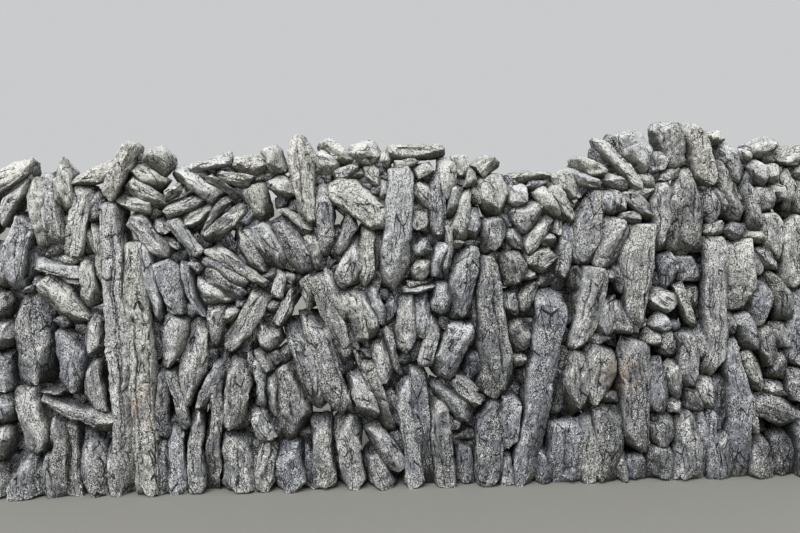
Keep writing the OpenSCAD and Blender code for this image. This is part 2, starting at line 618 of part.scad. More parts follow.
// Every group of stones with its place in the thickness; the daylight gaps come last
GROUPS = [
    [split_upright_set, THROUGH, IN_BODY], [leaning_slab_set, THROUGH, IN_BODY],
    [pale_upright_set, FRONT, IN_BODY], [peaked_cope_set, THROUGH, IN_COPE],
    [highest_cope_set, THROUGH, IN_COPE], [leaning_block_set, THROUGH, IN_BODY],
    [closing_left_set, THROUGH, IN_BODY], [closing_right_set, THROUGH, IN_BODY],
    [foot_1_set, THROUGH, IN_BODY], [foot_2_set, THROUGH, IN_BODY], [foot_3_set, THROUGH, IN_BODY],
    [foot_4_set, THROUGH, IN_BODY], [foot_5_set, FRONT, IN_BODY], [foot_6_set, FRONT, IN_BODY],
    [standing_1_set, THROUGH, IN_BODY], [standing_2_set, THROUGH, IN_BODY],
    [standing_3_set, THROUGH, IN_BODY], [standing_4_set, THROUGH, IN_BODY],
    [standing_5_set, FRONT, IN_BODY], [standing_6_set, FRONT, IN_BODY],
    [leaning_1_set, THROUGH, IN_BODY], [leaning_2_set, THROUGH, IN_BODY],
    [leaning_3_set, THROUGH, IN_BODY], [leaning_4_set, THROUGH, IN_BODY],
    [leaning_5_set, FRONT, IN_BODY], [leaning_6_set, FRONT, IN_BODY],
    [wedge_1_set, THROUGH, IN_BODY], [wedge_2_set, THROUGH, IN_BODY],
    [wedge_3_set, THROUGH, IN_BODY], [wedge_4_set, THROUGH, IN_BODY],
    [wedge_5_set, FRONT, IN_BODY], [wedge_6_set, FRONT, IN_BODY],
    [cope_1_set, THROUGH, IN_COPE], [cope_2_set, THROUGH, IN_COPE], [cope_3_set, THROUGH, IN_COPE],
    [cope_4_set, THROUGH, IN_COPE], [cope_5_set, THROUGH, IN_COPE], [cope_6_set, THROUGH, IN_COPE],
    [backing_lower_set, BACK, IN_BODY], [backing_upper_set, BACK, IN_BODY],
    [hearting_1_set, CORE, IN_CORE], [hearting_2_set, CORE, IN_CORE],
    [hearting_3_set, CORE, IN_CORE], [hearting_4_set, CORE, IN_CORE],
    [daylight_set, THROUGH, NONE]
];

function unit(v) = v / norm(v);
function mean(list) = [for (p = list) 1] * list / len(list);
function across(v) = [-v.y, v.x];

// The four corners of a stone as it was set out, clockwise from its foot
function corners(foot, head, half) =
    let (left = across(unit(head - foot)))
    [foot + left * half[0], head + left * half[1], head - left * half[1], foot - left * half[0]];

// The outline of a slab, swollen by side and end, for stone number i. It has blunt ends, or a
// head that tapers over a share of half its width.
longest_point = 0.4;
tip_share = 0.4;
function slab_outline(foot, head, half, side, end, point, i) =
    let (
        u = unit(head - foot),
        v = -across(u),
        l = norm(head - foot),
        wf = half[0] + side,
        wh = half[1] + side,
        sharp = !is_undef(point),
        left_cut = sharp ? min(point * wh, longest_point * l) : 0.25 * min(l, wh),
        right_cut = sharp ? left_cut : vary(0.2, 0.6, i, 5) * min(l, wh),
        tip = sharp ? tip_share * wh : wh,
        a = [
            [-end, vary(-0.6, -0.3, i, 1) * wf], [0.25 * min(l, wf), -wf],
            [l - left_cut, -wh], [l + end, vary(-0.6, -0.2, i, 2) * tip],
            [l + end - vary(0, 4, i, 3), vary(0.2, 0.6, i, 4) * tip],
            [l - right_cut, wh], [vary(0.2, 0.5, i, 6) * min(l, wf), wf],
            [-end, vary(0.3, 0.6, i, 7) * wf]
        ]
    )
    [for (p = a) foot + u * p.x + v * p.y];

// An outline with its sharper corners broken off, each by seed, for stone number i and use k. A
// break goes along both sides by a share of the shorter one, and by no more than the longest
// share of either. A corner so blunt that the cosine of its angle is below the last value stays.
least_break = 0.12;
most_break = 0.8;
longest_break = 0.42;
blunt_corner = -0.6;
function broken_corners(o, i, k) = [
    for (n = [0 : len(o) - 1])
        let (
            p = o[n],
            before = o[(n + len(o) - 1) % len(o)] - p,
            after = o[(n + 1) % len(o)] - p,
            short = min(norm(before), norm(after)),
            share = [for (m = [0, 1]) vary(least_break, most_break, i, k + 2 * n + m)],
            off_before = min(share[0] * short, longest_break * norm(before)),
            off_after = min(share[1] * short, longest_break * norm(after))
        )
        each unit(before) * unit(after) < blunt_corner ? [p]
            : [p + unit(before) * off_before, p + unit(after) * off_after]
];

// One record per stone:
// [foot, head, half widths, group, layer, set-back, number, swell, corners, swollen outline,
// point]
STONES = [
    for (g = [0 : len(GROUPS) - 1]) for (k = [0 : len(GROUPS[g][0]) - 1])
        let (
            s = GROUPS[g][0][k],
            foot = [s[0] * set_out.x, s[1] * set_out.y],
            head = [s[2] * set_out.x, s[3] * set_out.y],
            half = [s[4], s[5]] * cm / 2
        )
        [
            foot, head, half, g, GROUPS[g][1], s[6] == undef ? undef : s[6] * cm, 100 * g + k,
            GROUPS[g][2], corners(foot, head, half),
            slab_outline(foot, head, half, GROUPS[g][2][0], GROUPS[g][2][1], s[7], 100 * g + k),
            s[7]
        ]
];

// The least distance that b stands off each side of a
function partings(a, b) = [
    for (k = [0 : len(a) - 1])
        let (out = across(unit(a[(k + 1) % len(a)] - a[k])))
        min([for (q = b) (q - a[k]) * out])
];

// What is left of an outline on the inner side of a line
function cut_outline(o, line) = [
    for (k = [0 : len(o) - 1])
        let (
            a = o[k],
            b = o[(k + 1) % len(o)],
            da = (a - line[0]) * line[1],
            db = (b - line[0]) * line[1]
        )
        each concat(da <= 0 ? [a] : [], da * db < 0 ? [a + (b - a) * da / (da - db)] : [])
];
function cut_by_all(o, lines, k = 0) =
    k >= len(lines) || len(o) == 0 ? o : cut_by_all(cut_outline(o, lines[k]), lines, k + 1);

function area(o) =
    len(o) < 3 ? 0
        : abs([for (k = [0 : len(o) - 1]) cross(o[k], o[(k + 1) % len(o)])] * [for (p = o) 1]) / 2;

function near(s, t) =
    norm((s[0] + s[1] - t[0] - t[1]) / 2)
        < (norm(s[1] - s[0]) + norm(t[1] - t[0])) / 2 + max(s[2]) + max(t[2]) + 2 * body_swell;
function spans(s) = s[4] == THROUGH || s[4] == CORE;
function meets(s, t) =
    s[6] != t[6] && (s[4] == t[4] || spans(s) || spans(t)) && near(s, t)
    && max(max(partings(s[9], t[9])), max(partings(t[9], s[9]))) < group_gap;

// The bed line between two stones, as a point on it and the way out of stone s. Of the lines
// along their sides it is the one that takes the least from both.
nominal_worth = 3;
function taken(s, line) =
    area(s[9]) - area(cut_outline(s[9], line))
    + nominal_worth * (area(s[8]) - area(cut_outline(s[8], line)));
function side_lines(s, t) =
    let (share_s = s[7][0] / (s[7][0] + t[7][0]), gap = s[3] == t[3] ? group_gap / 2 : 0)
    [
        for (k = [0 : 3])
            let (
                a = s[8][k],
                out = across(unit(s[8][(k + 1) % 4] - a)),
                off = min([for (q = t[8]) (q - a) * out])
            )
            [a + out * (off * (off > 0 ? share_s : 0.5) - gap), out],
        for (k = [0 : 3])
            let (
                b = t[8][k],
                out = -across(unit(t[8][(k + 1) % 4] - b)),
                off = min([for (q = s[8]) (b - q) * out])
            )
            [b - out * (off * (off > 0 ? 1 - share_s : 0.5) + gap), out]
    ];
function bed_line(s, t) =
    let (
        gap = s[3] == t[3] ? group_gap : 0,
        lines = side_lines(s, t),
        costs = [for (l = lines) taken(s, l) + taken(t, [l[0] + l[1] * gap, -l[1]])]
    )
    lines[search(min(costs), costs)[0]];

// The bed line of a hearting stone s runs along that side of stone t which s stands off most
function packed_line(s, t) =
    let (
        o = t[7] == NONE ? t[9] : waist(t, bed_lines(t)),
        c = (s[0] + s[1]) / 2,
        outs = [for (k = [0 : len(o) - 1]) across(unit(o[(k + 1) % len(o)] - o[k]))],
        offs = [for (k = [0 : len(o) - 1]) (c - o[k]) * outs[k]],
        side = search(max(offs), offs)[0]
    )
    [o[side] + outs[side] * core_gap, -outs[side]];

// Lines that every stone is cut by: the ground and the two ends of the wall
WALL_LINES = [[[0, 0], [0, -1]], [[half_l, 0], [1, 0]], [[-half_l, 0], [-1, 0]]];

function bed_lines(s) = [
    for (t = STONES)
        if (meets(s, t) && (s[4] == CORE || t[4] != CORE))
            s[4] == CORE && t[4] != CORE ? packed_line(s, t) : bed_line(s, t)
];
function drawn_in(lines, by) = [for (l = lines) [l[0] - l[1] * by, l[1]]];
function drop_short(o, least) = [
    for (k = [0 : len(o) - 1]) if (norm(o[k] - o[(k + len(o) - 1) % len(o)]) > least) o[k]
];
function waist(s, lines) =
    drop_short(
        cut_by_all(s[9], concat(lines, WALL_LINES)), s[4] == CORE ? core_edge : waist_edge
    );

// Half the wall's thickness at a height
function half_t(z) = (foot_t + (top_t - foot_t) * z / wall_h) / 2;

// Least and most set-back of a face, how far it leans, the shortest edges that are kept, and
// how far a hearting stone stands behind the faces and off its neighbours
least_set = 3;
most_set = 24;
face_lean = 7;
waist_edge = 9;
face_edge = 12;
core_edge = 5;
core_gap = 1;
core_set = [45, 75];

// A stone of the hearting, as thick from front to back as it is set in from the faces
module hearting_stone(s) {
    half = half_t(s[0].y) - vary(core_set[0], core_set[1], s[6], 20);
    corners = [for (y = [-half, half]) for (p = waist(s, bed_lines(s))) [p.x, y, p.y]];
    hull()
        polyhedron(points = corners, faces = [[for (k = [0 : len(corners) - 1]) k]]);
}

// A stone: its waist on the bed lines, its two faces drawn in from them and set back.
// Only the corners are listed, since hull() closes the stone over them.
module stone(s) {
    i = s[6];
    lines = bed_lines(s);
    o = waist(s, lines);
    flat = is_undef(s[10]) ? s[8] : slab_outline(s[0], s[1], s[2], 0, 0, s[10], i);
    cut = cut_by_all(flat, concat(drawn_in(lines, face_inset), WALL_LINES));
    front = drop_short(broken_corners(cut, i, 40), face_edge);
    back = drop_short(broken_corners(cut, i, 80), face_edge);
    u = unit(s[1] - s[0]);
    c = mean(o);
    reach = max([for (p = o) abs((p - c) * u)]);
    flush = s[5] == 0;
    front_set = is_undef(s[5]) ? vary(least_set, most_set, i, 20) : s[5];
    back_set = flush ? 0 : vary(least_set, most_set, i, 21);
    front_lean = is_undef(s[5]) ? vary(-face_lean, face_lean, i, 22) : 0;
    back_lean = flush ? 0 : vary(-face_lean, face_lean, i, 23);
    front_y = function (p) s[4] == BACK ? skin_y
        : -half_t(p.y) + front_set + (abs(front_lean) - front_lean * ((p - c) * u) / reach);
    back_y = function (p) s[4] == FRONT ? skin_y
        : half_t(p.y) - back_set - (abs(back_lean) - back_lean * ((p - c) * u) / reach);
    waist_y = s[4] == FRONT ? (skin_y - half_t(c.y)) / 2
        : s[4] == BACK ? (skin_y + half_t(c.y)) / 2
        : 0;
    half = 2 * max(s[2]) < broad_w ? 0 : s[4] == THROUGH ? waist_half : waist_half / 2;
    corners = concat(
        [for (p = front) [p.x, front_y(p), p.y]],
        [for (y = half == 0 ? [0] : [-half, half]) for (p = o) [p.x, waist_y + y, p.y]],
        [for (p = back) [p.x, back_y(p), p.y]]
    );
    hull()
        polyhedron(points = corners, faces = [[for (k = [0 : len(corners) - 1]) k]]);
}

// All the stones of one group
module lay(name) {
    g = search([name], NODES)[0];
    for (s = STONES)
        if (s[3] == g)
            if (s[4] == CORE)
                hearting_stone(s);
            else
                stone(s);
}

module split_upright() { color(pale_stone) lay("split_upright"); }
module leaning_slab() { color(grey_stone) lay("leaning_slab"); }
module pale_upright() { color(pale_stone) lay("pale_upright"); }
module peaked_cope() { color(pale_stone) lay("peaked_cope"); }
module highest_cope() { color(pale_stone) lay("highest_cope"); }
module leaning_block() { color(pale_stone) lay("leaning_block"); }
module closing_stones_left() { color(grey_stone) lay("closing_stones_left"); }
module closing_stones_right() { color(grey_stone) lay("closing_stones_right"); }
module foot_stones_bay_1() { color(dark_stone) lay("foot_stones_bay_1"); }
module foot_stones_bay_2() { color(dark_stone) lay("foot_stones_bay_2"); }
module foot_stones_bay_3() { color(dark_stone) lay("foot_stones_bay_3"); }
module foot_stones_bay_4() { color(dark_stone) lay("foot_stones_bay_4"); }
module foot_stones_bay_5() { color(dark_stone) lay("foot_stones_bay_5"); }
module foot_stones_bay_6() { color(dark_stone) lay("foot_stones_bay_6"); }
module standing_stones_bay_1() { color(grey_stone) lay("standing_stones_bay_1"); }
module standing_stones_bay_2() { color(grey_stone) lay("standing_stones_bay_2"); }
module standing_stones_bay_3() { color(grey_stone) lay("standing_stones_bay_3"); }
module standing_stones_bay_4() { color(grey_stone) lay("standing_stones_bay_4"); }
module standing_stones_bay_5() { color(grey_stone) lay("standing_stones_bay_5"); }
module standing_stones_bay_6() { color(grey_stone) lay("standing_stones_bay_6"); }
module leaning_stones_bay_1() { color(grey_stone) lay("leaning_stones_bay_1"); }
module leaning_stones_bay_2() { color(grey_stone) lay("leaning_stones_bay_2"); }
module leaning_stones_bay_3() { color(grey_stone) lay("leaning_stones_bay_3"); }
module leaning_stones_bay_4() { color(grey_stone) lay("leaning_stones_bay_4"); }
module leaning_stones_bay_5() { color(grey_stone) lay("leaning_stones_bay_5"); }
module leaning_stones_bay_6() { color(grey_stone) lay("leaning_stones_bay_6"); }
module wedge_stones_bay_1() { color(grey_stone) lay("wedge_stones_bay_1"); }
module wedge_stones_bay_2() { color(grey_stone) lay("wedge_stones_bay_2"); }
module wedge_stones_bay_3() { color(grey_stone) lay("wedge_stones_bay_3"); }
module wedge_stones_bay_4() { color(grey_stone) lay("wedge_stones_bay_4"); }
module wedge_stones_bay_5() { color(grey_stone) lay("wedge_stones_bay_5"); }
module wedge_stones_bay_6() { color(grey_stone) lay("wedge_stones_bay_6"); }
module cope_stones_bay_1() { color(pale_stone) lay("cope_stones_bay_1"); }
module cope_stones_bay_2() { color(pale_stone) lay("cope_stones_bay_2"); }
module cope_stones_bay_3() { color(pale_stone) lay("cope_stones_bay_3"); }
module cope_stones_bay_4() { color(pale_stone) lay("cope_stones_bay_4"); }
module cope_stones_bay_5() { color(pale_stone) lay("cope_stones_bay_5"); }
module cope_stones_bay_6() { color(pale_stone) lay("cope_stones_bay_6"); }
module backing_stones_lower() { color(dark_stone) lay("backing_stones_lower"); }
module backing_stones_upper() { color(grey_stone) lay("backing_stones_upper"); }
module hearting_bay_1() { color(dark_stone) lay("hearting_bay_1"); }
module hearting_bay_2() { color(dark_stone) lay("hearting_bay_2"); }
module hearting_bay_3() { color(dark_stone) lay("hearting_bay_3"); }
module hearting_bay_4() { color(dark_stone) lay("hearting_bay_4"); }

split_upright();
leaning_slab();
pale_upright();
peaked_cope();
highest_cope();
leaning_block();
closing_stones_left();
closing_stones_right();
foot_stones_bay_1();
foot_stones_bay_2();
foot_stones_bay_3();
foot_stones_bay_4();
foot_stones_bay_5();
foot_stones_bay_6();
standing_stones_bay_1();
standing_stones_bay_2();
standing_stones_bay_3();
standing_stones_bay_4();
standing_stones_bay_5();
standing_stones_bay_6();
leaning_stones_bay_1();
leaning_stones_bay_2();
leaning_stones_bay_3();
leaning_stones_bay_4();
leaning_stones_bay_5();
leaning_stones_bay_6();
wedge_stones_bay_1();
wedge_stones_bay_2();
wedge_stones_bay_3();
wedge_stones_bay_4();
wedge_stones_bay_5();
wedge_stones_bay_6();
cope_stones_bay_1();
cope_stones_bay_2();
cope_stones_bay_3();
cope_stones_bay_4();
cope_stones_bay_5();
cope_stones_bay_6();
backing_stones_lower();
backing_stones_upper();
hearting_bay_1();
hearting_bay_2();
hearting_bay_3();
hearting_bay_4();
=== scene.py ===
"""A dry stone field wall: the weathered skins of its limestone slabs around the fixed frame.

Each loose solid of the frame is one quarried block with flat sides. Its skin is the block with
worn edges, bed steps, cracks and broken ends, and every skin stays where its block is.
"""

from __future__ import annotations

import json
import logging
import math
from dataclasses import dataclass, replace
from enum import Enum
from functools import lru_cache
from itertools import product

import bpy
import numpy as np
from bpy.types import ID, Material, Mesh, Node, NodeSocket, NodeTree, Object
from mathutils import Euler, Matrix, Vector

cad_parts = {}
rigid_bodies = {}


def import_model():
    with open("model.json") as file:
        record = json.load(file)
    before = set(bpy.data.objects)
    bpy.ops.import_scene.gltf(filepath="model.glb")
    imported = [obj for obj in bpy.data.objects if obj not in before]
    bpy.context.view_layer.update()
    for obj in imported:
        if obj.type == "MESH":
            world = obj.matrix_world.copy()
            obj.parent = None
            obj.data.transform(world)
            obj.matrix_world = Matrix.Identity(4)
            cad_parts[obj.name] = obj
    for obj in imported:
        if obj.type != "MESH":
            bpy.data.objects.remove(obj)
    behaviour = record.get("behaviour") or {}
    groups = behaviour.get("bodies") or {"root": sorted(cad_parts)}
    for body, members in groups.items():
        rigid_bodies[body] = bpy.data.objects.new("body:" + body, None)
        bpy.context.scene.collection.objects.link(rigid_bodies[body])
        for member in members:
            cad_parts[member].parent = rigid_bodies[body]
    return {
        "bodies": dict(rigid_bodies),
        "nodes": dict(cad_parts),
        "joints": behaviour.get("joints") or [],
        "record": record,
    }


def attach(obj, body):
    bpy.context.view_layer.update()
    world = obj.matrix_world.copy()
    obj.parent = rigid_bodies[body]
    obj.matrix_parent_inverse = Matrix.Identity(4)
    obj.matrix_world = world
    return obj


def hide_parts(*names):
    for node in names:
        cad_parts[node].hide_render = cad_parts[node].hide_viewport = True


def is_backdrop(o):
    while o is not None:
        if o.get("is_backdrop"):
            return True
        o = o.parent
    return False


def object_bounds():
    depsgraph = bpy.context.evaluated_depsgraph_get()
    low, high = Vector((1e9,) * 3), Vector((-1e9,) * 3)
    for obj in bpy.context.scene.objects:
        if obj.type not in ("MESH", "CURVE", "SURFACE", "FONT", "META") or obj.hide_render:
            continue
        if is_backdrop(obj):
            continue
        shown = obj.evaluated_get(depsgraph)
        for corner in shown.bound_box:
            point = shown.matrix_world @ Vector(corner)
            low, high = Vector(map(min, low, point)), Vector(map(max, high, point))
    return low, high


LOG = logging.getLogger("dry_stone_wall")
MM = 0.001
CM = 0.01
CM_IN_M = 100
SEED = 20
BODY = "root"
DEPTH_AXIS = np.array([0.0, 1.0, 0.0])
# How far the wall's faces stand from its middle at the foot and at the top, in metres
FOOT_FACE = 0.17
TOP_FACE = 0.12
# How far the wall's ends stand from its middle, in metres
END_FACE = 1.8
# How much darker the stones are for each metre to the right, and lighter from foot to top
DRIFT = 0.14
RISE = 0.3
# Where two sides of a skin meet at more than this angle, the edge between them stays sharp
SHARP_FROM = math.radians(48)
# How far apart the rock of two stones may lie in the grain, in millimetres
ROCK_SPAN = 4000
# Corners that agree to so many digits of a metre are one, and stones are in one column
CORNER_DIGITS = 6
COLUMN_DIGITS = 4
# The slot of the stones that the frame doesn't have
LOOSE_SLOT = "wall_limestone"
# The nodes that the shader uses most, by their type and settings
SCALED = ("ShaderNodeVectorMath", {"operation": "MULTIPLY"})
SWAYED = ("ShaderNodeVectorMath", {"operation": "MULTIPLY_ADD"})
PARTED = ("ShaderNodeSeparateXYZ", {})
MULTIPLIED = ("ShaderNodeMath", {"operation": "MULTIPLY"})
ADDED = ("ShaderNodeMath", {"operation": "MULTIPLY_ADD"})
EASED = ("ShaderNodeMapRange", {"interpolation_type": "SMOOTHSTEP"})
NOISE = ("ShaderNodeTexNoise", {})
CRACKED = ("ShaderNodeTexVoronoi", {"feature": "DISTANCE_TO_EDGE"})

# Types: a colour; a soft step, from one value to another and what it gives at each; lengths
# along, across and through a slab; and the two ends of what numbers are drawn from
RGBA = tuple[float, float, float, float]
Step = tuple[float, float, float, float]
Size = tuple[float, float, float]
Span = tuple[float, float]
Counts = tuple[int, int]
Names = tuple[str, ...]
Array = np.ndarray
Pair = tuple[Array, Array]


def wall_face(level: Array | float, top: float) -> Array | float:
    """Gives how far the wall's face stands from its middle at a level, given that of the top."""
    return FOOT_FACE + (TOP_FACE - FOOT_FACE) * level / top


def repeats(rng: np.random.Generator, span: Counts) -> range:
    """Draws how often something happens, from the first number to the second."""
    return range(int(rng.integers(span[0], span[1] + 1)))


def hex_to_linear(code: str) -> RGBA:
    """Turns an sRGB hex colour into the linear colour that a shader takes.

    Args:
        code: the colour as six hex digits after a hash sign.

    Returns:
        Red, green, blue and alpha, each from 0 to 1.
    """
    shares = [int(code[i : i + 2], 16) / 255 for i in (1, 3, 5)]
    linear = [c / 12.92 if c <= 0.04045 else ((c + 0.055) / 1.055) ** 2.4 for c in shares]
    return (linear[0], linear[1], linear[2], 1.0)


def add_node(
    tree: NodeTree,
    kind: str,
    settings: dict[str, object] | None = None,
    links: dict[str | int, object] | tuple[object, ...] = (),
) -> Node:
    """Adds one node to a tree, with its settings and what goes into its sockets.

    Args:
        tree: the node tree that gets the node.
        kind: the node's type, such as ShaderNodeMix.
        settings: properties of the node by name.
        links: what goes into the inputs, by name or in order: a socket, a node for its first
            output, or a plain value.

    Returns:
        The new node.
    """
    node = tree.nodes.new(kind)
    for name, value in (settings or {}).items():
        setattr(node, name, value)
    for name, value in links.items() if isinstance(links, dict) else enumerate(links):
        if isinstance(value, Node):
            value = value.outputs[0]
        if isinstance(value, NodeSocket):
            tree.links.new(value, node.inputs[name])
        else:
            node.inputs[name].default_value = value
    return node


class Bedding(Enum):
    """How a slab splits along its beds, by how strongly they show."""

    MASSIVE = 0.35
    BEDDED = 1.0
    LAMINATED = 1.9


class Grain:
    """Seeded gradient noise in three dimensions."""

    corners = np.array(list(product((0, 1), repeat=3)))
    cells = 256
    gain = 1.7

    def __init__(self, seed: int) -> None:
        """Draws the order of the cells and the slope in each.

        Args:
            seed: what the draws start from.
        """
        rng = np.random.default_rng(seed)
        self.order = rng.permutation(self.cells)
        slopes = rng.normal(size=(self.cells, 3))
        self.slopes = slopes / np.linalg.norm(slopes, axis=1, keepdims=True)

    def at(self, points: Array, size: Size) -> Array:
        """Gives the noise at points.

        Args:
            points: places in millimetres, one row each.
            size: the length of one cell along each axis, in millimetres.

        Returns:
            One value for each point, nearly all between -1 and 1.
        """
        scaled = points / np.array(size)
        cell = np.floor(scaled).astype(np.int64)
        inside = scaled - cell
        # The usual curve of such noise, with neither slope nor bend at the corners of a cell
        ease = inside**3 * (inside * (inside * 6 - 15) + 10)
        total = np.zeros(len(points))
        for corner in self.corners:
            step = cell + corner
            pick = 0
            for axis in range(3):
                pick = self.order[(pick + step[:, axis]) % self.cells]
            weight = np.prod(np.where(corner, ease, 1 - ease), axis=1)
            total += weight * np.einsum("ij,ij->i", self.slopes[pick], inside - corner)
        return total * self.gain


GRAIN = Grain(SEED)


@dataclass(frozen=True)
class Layer:
    """One layer of the grain, by the size of its patches in millimetres.

    The share is how much it counts, and its start keeps it apart from the other layers.
    """

    size: Size
    share: float = 1.0
    start: float = 0.0


Layers = tuple[Layer, ...]


def grain(points: Array, layers: Layers) -> Array:
    """Adds up layers of the grain at points in millimetres."""
    return sum(layer.share * GRAIN.at(points + layer.start, layer.size) for layer in layers)


@dataclass(frozen=True)
class Weathering:
    """How rain and frost have worn one kind of stone. Lengths are in millimetres."""

    # The mesh over the stone: its cells on the face of the wall, the fewest of them either way,
    # and its rings from front to back as shares of the depth
    grid: float = 8.0
    fewest: int = 3
    rings: tuple[float, ...] = (0.0, 0.05, 0.12, 0.24, 0.5, 0.76, 0.88, 0.95, 1.0)
    # The radius of worn edges as a share of the half width, the largest, and that at the waist
    rounding: Span = (0.03, 0.08)
    softest: float = 2.6
    sharpest: float = 1.2
    # A place is exposed by the first times its share of the way to the face, less the second
    face_rise: float = 2.5
    face_from: float = 0.6
    # How far the sides grow to meet the next stone, and the share of it at the wall's faces
    spread: float = 11.0
    face_spread: float = 0.82
    # How far the surface may rise, how deep it may be worn as a share of the half width, and up
    # to what height a foot is flat on the ground
    proud: float = 4.0
    deepest: float = 0.42
    foot_flat: float = 5.0
    # The uneven surface: broad swells, roughness, and pits where their layer is above a value
    swell: float = 2.8
    swell_layers: Layers = (Layer((130, 66, 80)), Layer((58, 30, 40), 0.5, 500))
    rough: float = 3.0
    rough_layers: Layers = (Layer((27, 17, 23), 1.0, 800), Layer((14, 11, 13), 0.5, 90))
    pit: float = 8.0
    pit_layers: Layers = (Layer((26, 19, 22), 1.0, 1500),)
    pit_from: float = 0.18
    # The share of ends broken to a point, what blunt and pointed ones lose as a share of the
    # half width, and the way of each break
    tapered: float = 0.6
    blunt: Span = (0.0, 0.12)
    nose: Span = (0.4, 1.1)
    end_turn: Span = (0.8, 1.3)
    end_lean: Span = (0.3, 0.6)
    # Flat breaks on the faces, with their ways and places along and across
    flats: Counts = (2, 4)
    flat_turn: Span = (-0.25, 0.25)
    flat_tilt: Span = (0.25, 0.9)
    flat_along: Span = (-0.6, 0.6)
    flat_across: Span = (-0.1, 0.7)
    # Chips off the corners, how deep they go, and the least that each axis counts in their way
    chips: Counts = (2, 5)
    chip: Span = (8.0, 30.0)
    chip_way: Size = (0.1, 0.35, 0.4)
    # The share of the wear left at the waist, where the stones seat on each other
    waist_wear: float = 0.3
    # The beds: their thickness and bend, how far they step, and the grooves between them. The
    # powers keep the deepest ones rare
    bed: Span = (14.0, 30.0)
    bed_layers: Layers = (Layer((170, 260, 130), 6.0), Layer((60, 90, 50), 2.0, 900))
    bed_count: int = 64
    bed_step: float = 6.0
    step_power: float = 1.6
    step_from: float = 0.8
    step_over: float = 0.2
    end_step: float = 0.8
    groove: float = 6.0
    groove_width: float = 4.5
    groove_power: float = 2.2
    groove_kept: float = 0.6
    groove_layers: Layers = (Layer((120, 40, 90), 0.8, 300),)
    # Cracks down the stone and across it, with their places and lengths as shares of its half
    # length and half width, and how they wander
    cracks: Counts = (0, 2)
    crack_ends: Span = (-1.15, 1.15)
    crack_across: Span = (-0.6, 0.6)
    cross_cracks: Counts = (0, 2)
    cross_start: Span = (-0.9, 0.5)
    cross_length: Span = (0.4, 0.9)
    cross_along: Span = (-0.9, 0.9)
    crack_depth: float = 9.0
    crack_width: float = 3.4
    crack_fade: float = 30.0
    crack_layers: Layers = (Layer((120, 1, 1), 11.0), Layer((34, 1, 1), 4.0, 31))
    crack_pitch: float = 170.0
    # What colours the rock by place: the depth of a recess, darker for the dirt and the painted shade in
    # it;
    # the depth into the wall, darker with painted shade, which spares surfaces facing up in an open top;
    # and worn edges, lighter as bleached rock and with a painted highlight where they face up
    dark_recess: float = 8.0
    pit_dark: float = 0.5
    painted_shade_depth: float = 150.0
    top_spared_painted_shade: float = 0.0
    bleached: float = 0.9
    crest_layers: Layers = (Layer((40, 30, 40), 1.0, 2200),)
    crest_kept: float = 0.6
    bleached_side: float = 0.7
    painted_highlight_up: float = 0.5


@dataclass(frozen=True)
class Warp:
    """The bend that all the stones share, so that straight sides wander and joints stay tight."""

    along: Layers = (Layer((125, 160, 125), 14.0, 5000), Layer((42, 90, 42), 3.5, 10000))
    upward: Layers = (Layer((125, 160, 125), 14.0, 9000), Layer((42, 90, 42), 3.5, 18000))
    top_power: int = 8
    edge: float = 60.0

    def shift(self, points: Array, height: float) -> Array:
        """Gives the shift at points of the wall, in metres.

        Args:
            points: the places.
            height: the height of the wall.

        Returns:
            A shift in the plane of the wall for each point. It fades at the ground, and its
            upward part fades at the top of the wall too.
        """
        share = np.clip(points[:, 2] / height, 0, 1)
        shift = np.zeros_like(points)
        shift[:, 0] = grain(points / MM, self.along) * MM
        shift[:, 2] = grain(points / MM, self.upward) * (1 - share**self.top_power) * MM
        return shift * np.clip(points[:, 2] / (self.edge * MM), 0, 1)[:, None]


WARP = Warp()


@lru_cache(maxsize=None)
def box_shell(cells: tuple[int, int, int]) -> Pair:
    """Makes the lattice on the six sides of a box.

    Args:
        cells: how many cells lie along each axis.

    Returns:
        The lattice points as whole numbers, and the quads between them, facing out.
    """
    shape = tuple(n + 1 for n in cells)
    grid = np.indices(shape)
    on_side = np.zeros(shape, bool)
    for axis in range(3):
        on_side |= (grid[axis] == 0) | (grid[axis] == cells[axis])
    number = np.full(shape, -1)
    number[on_side] = np.arange(on_side.sum())
    points = np.stack([grid[axis][on_side] for axis in range(3)], axis=1)
    quads = []
    for axis in range(3):
        turned = np.moveaxis(number, axis, 0)
        if axis == 1:
            turned = turned.transpose(0, 2, 1)
        for end, flip in ((0, True), (-1, False)):
            side = turned[end]
            ring = [side[:-1, :-1], side[1:, :-1], side[1:, 1:], side[:-1, 1:]]
            quads.append(np.stack(ring[::-1] if flip else ring, axis=-1).reshape(-1, 4))
    return points, np.concatenate(quads)


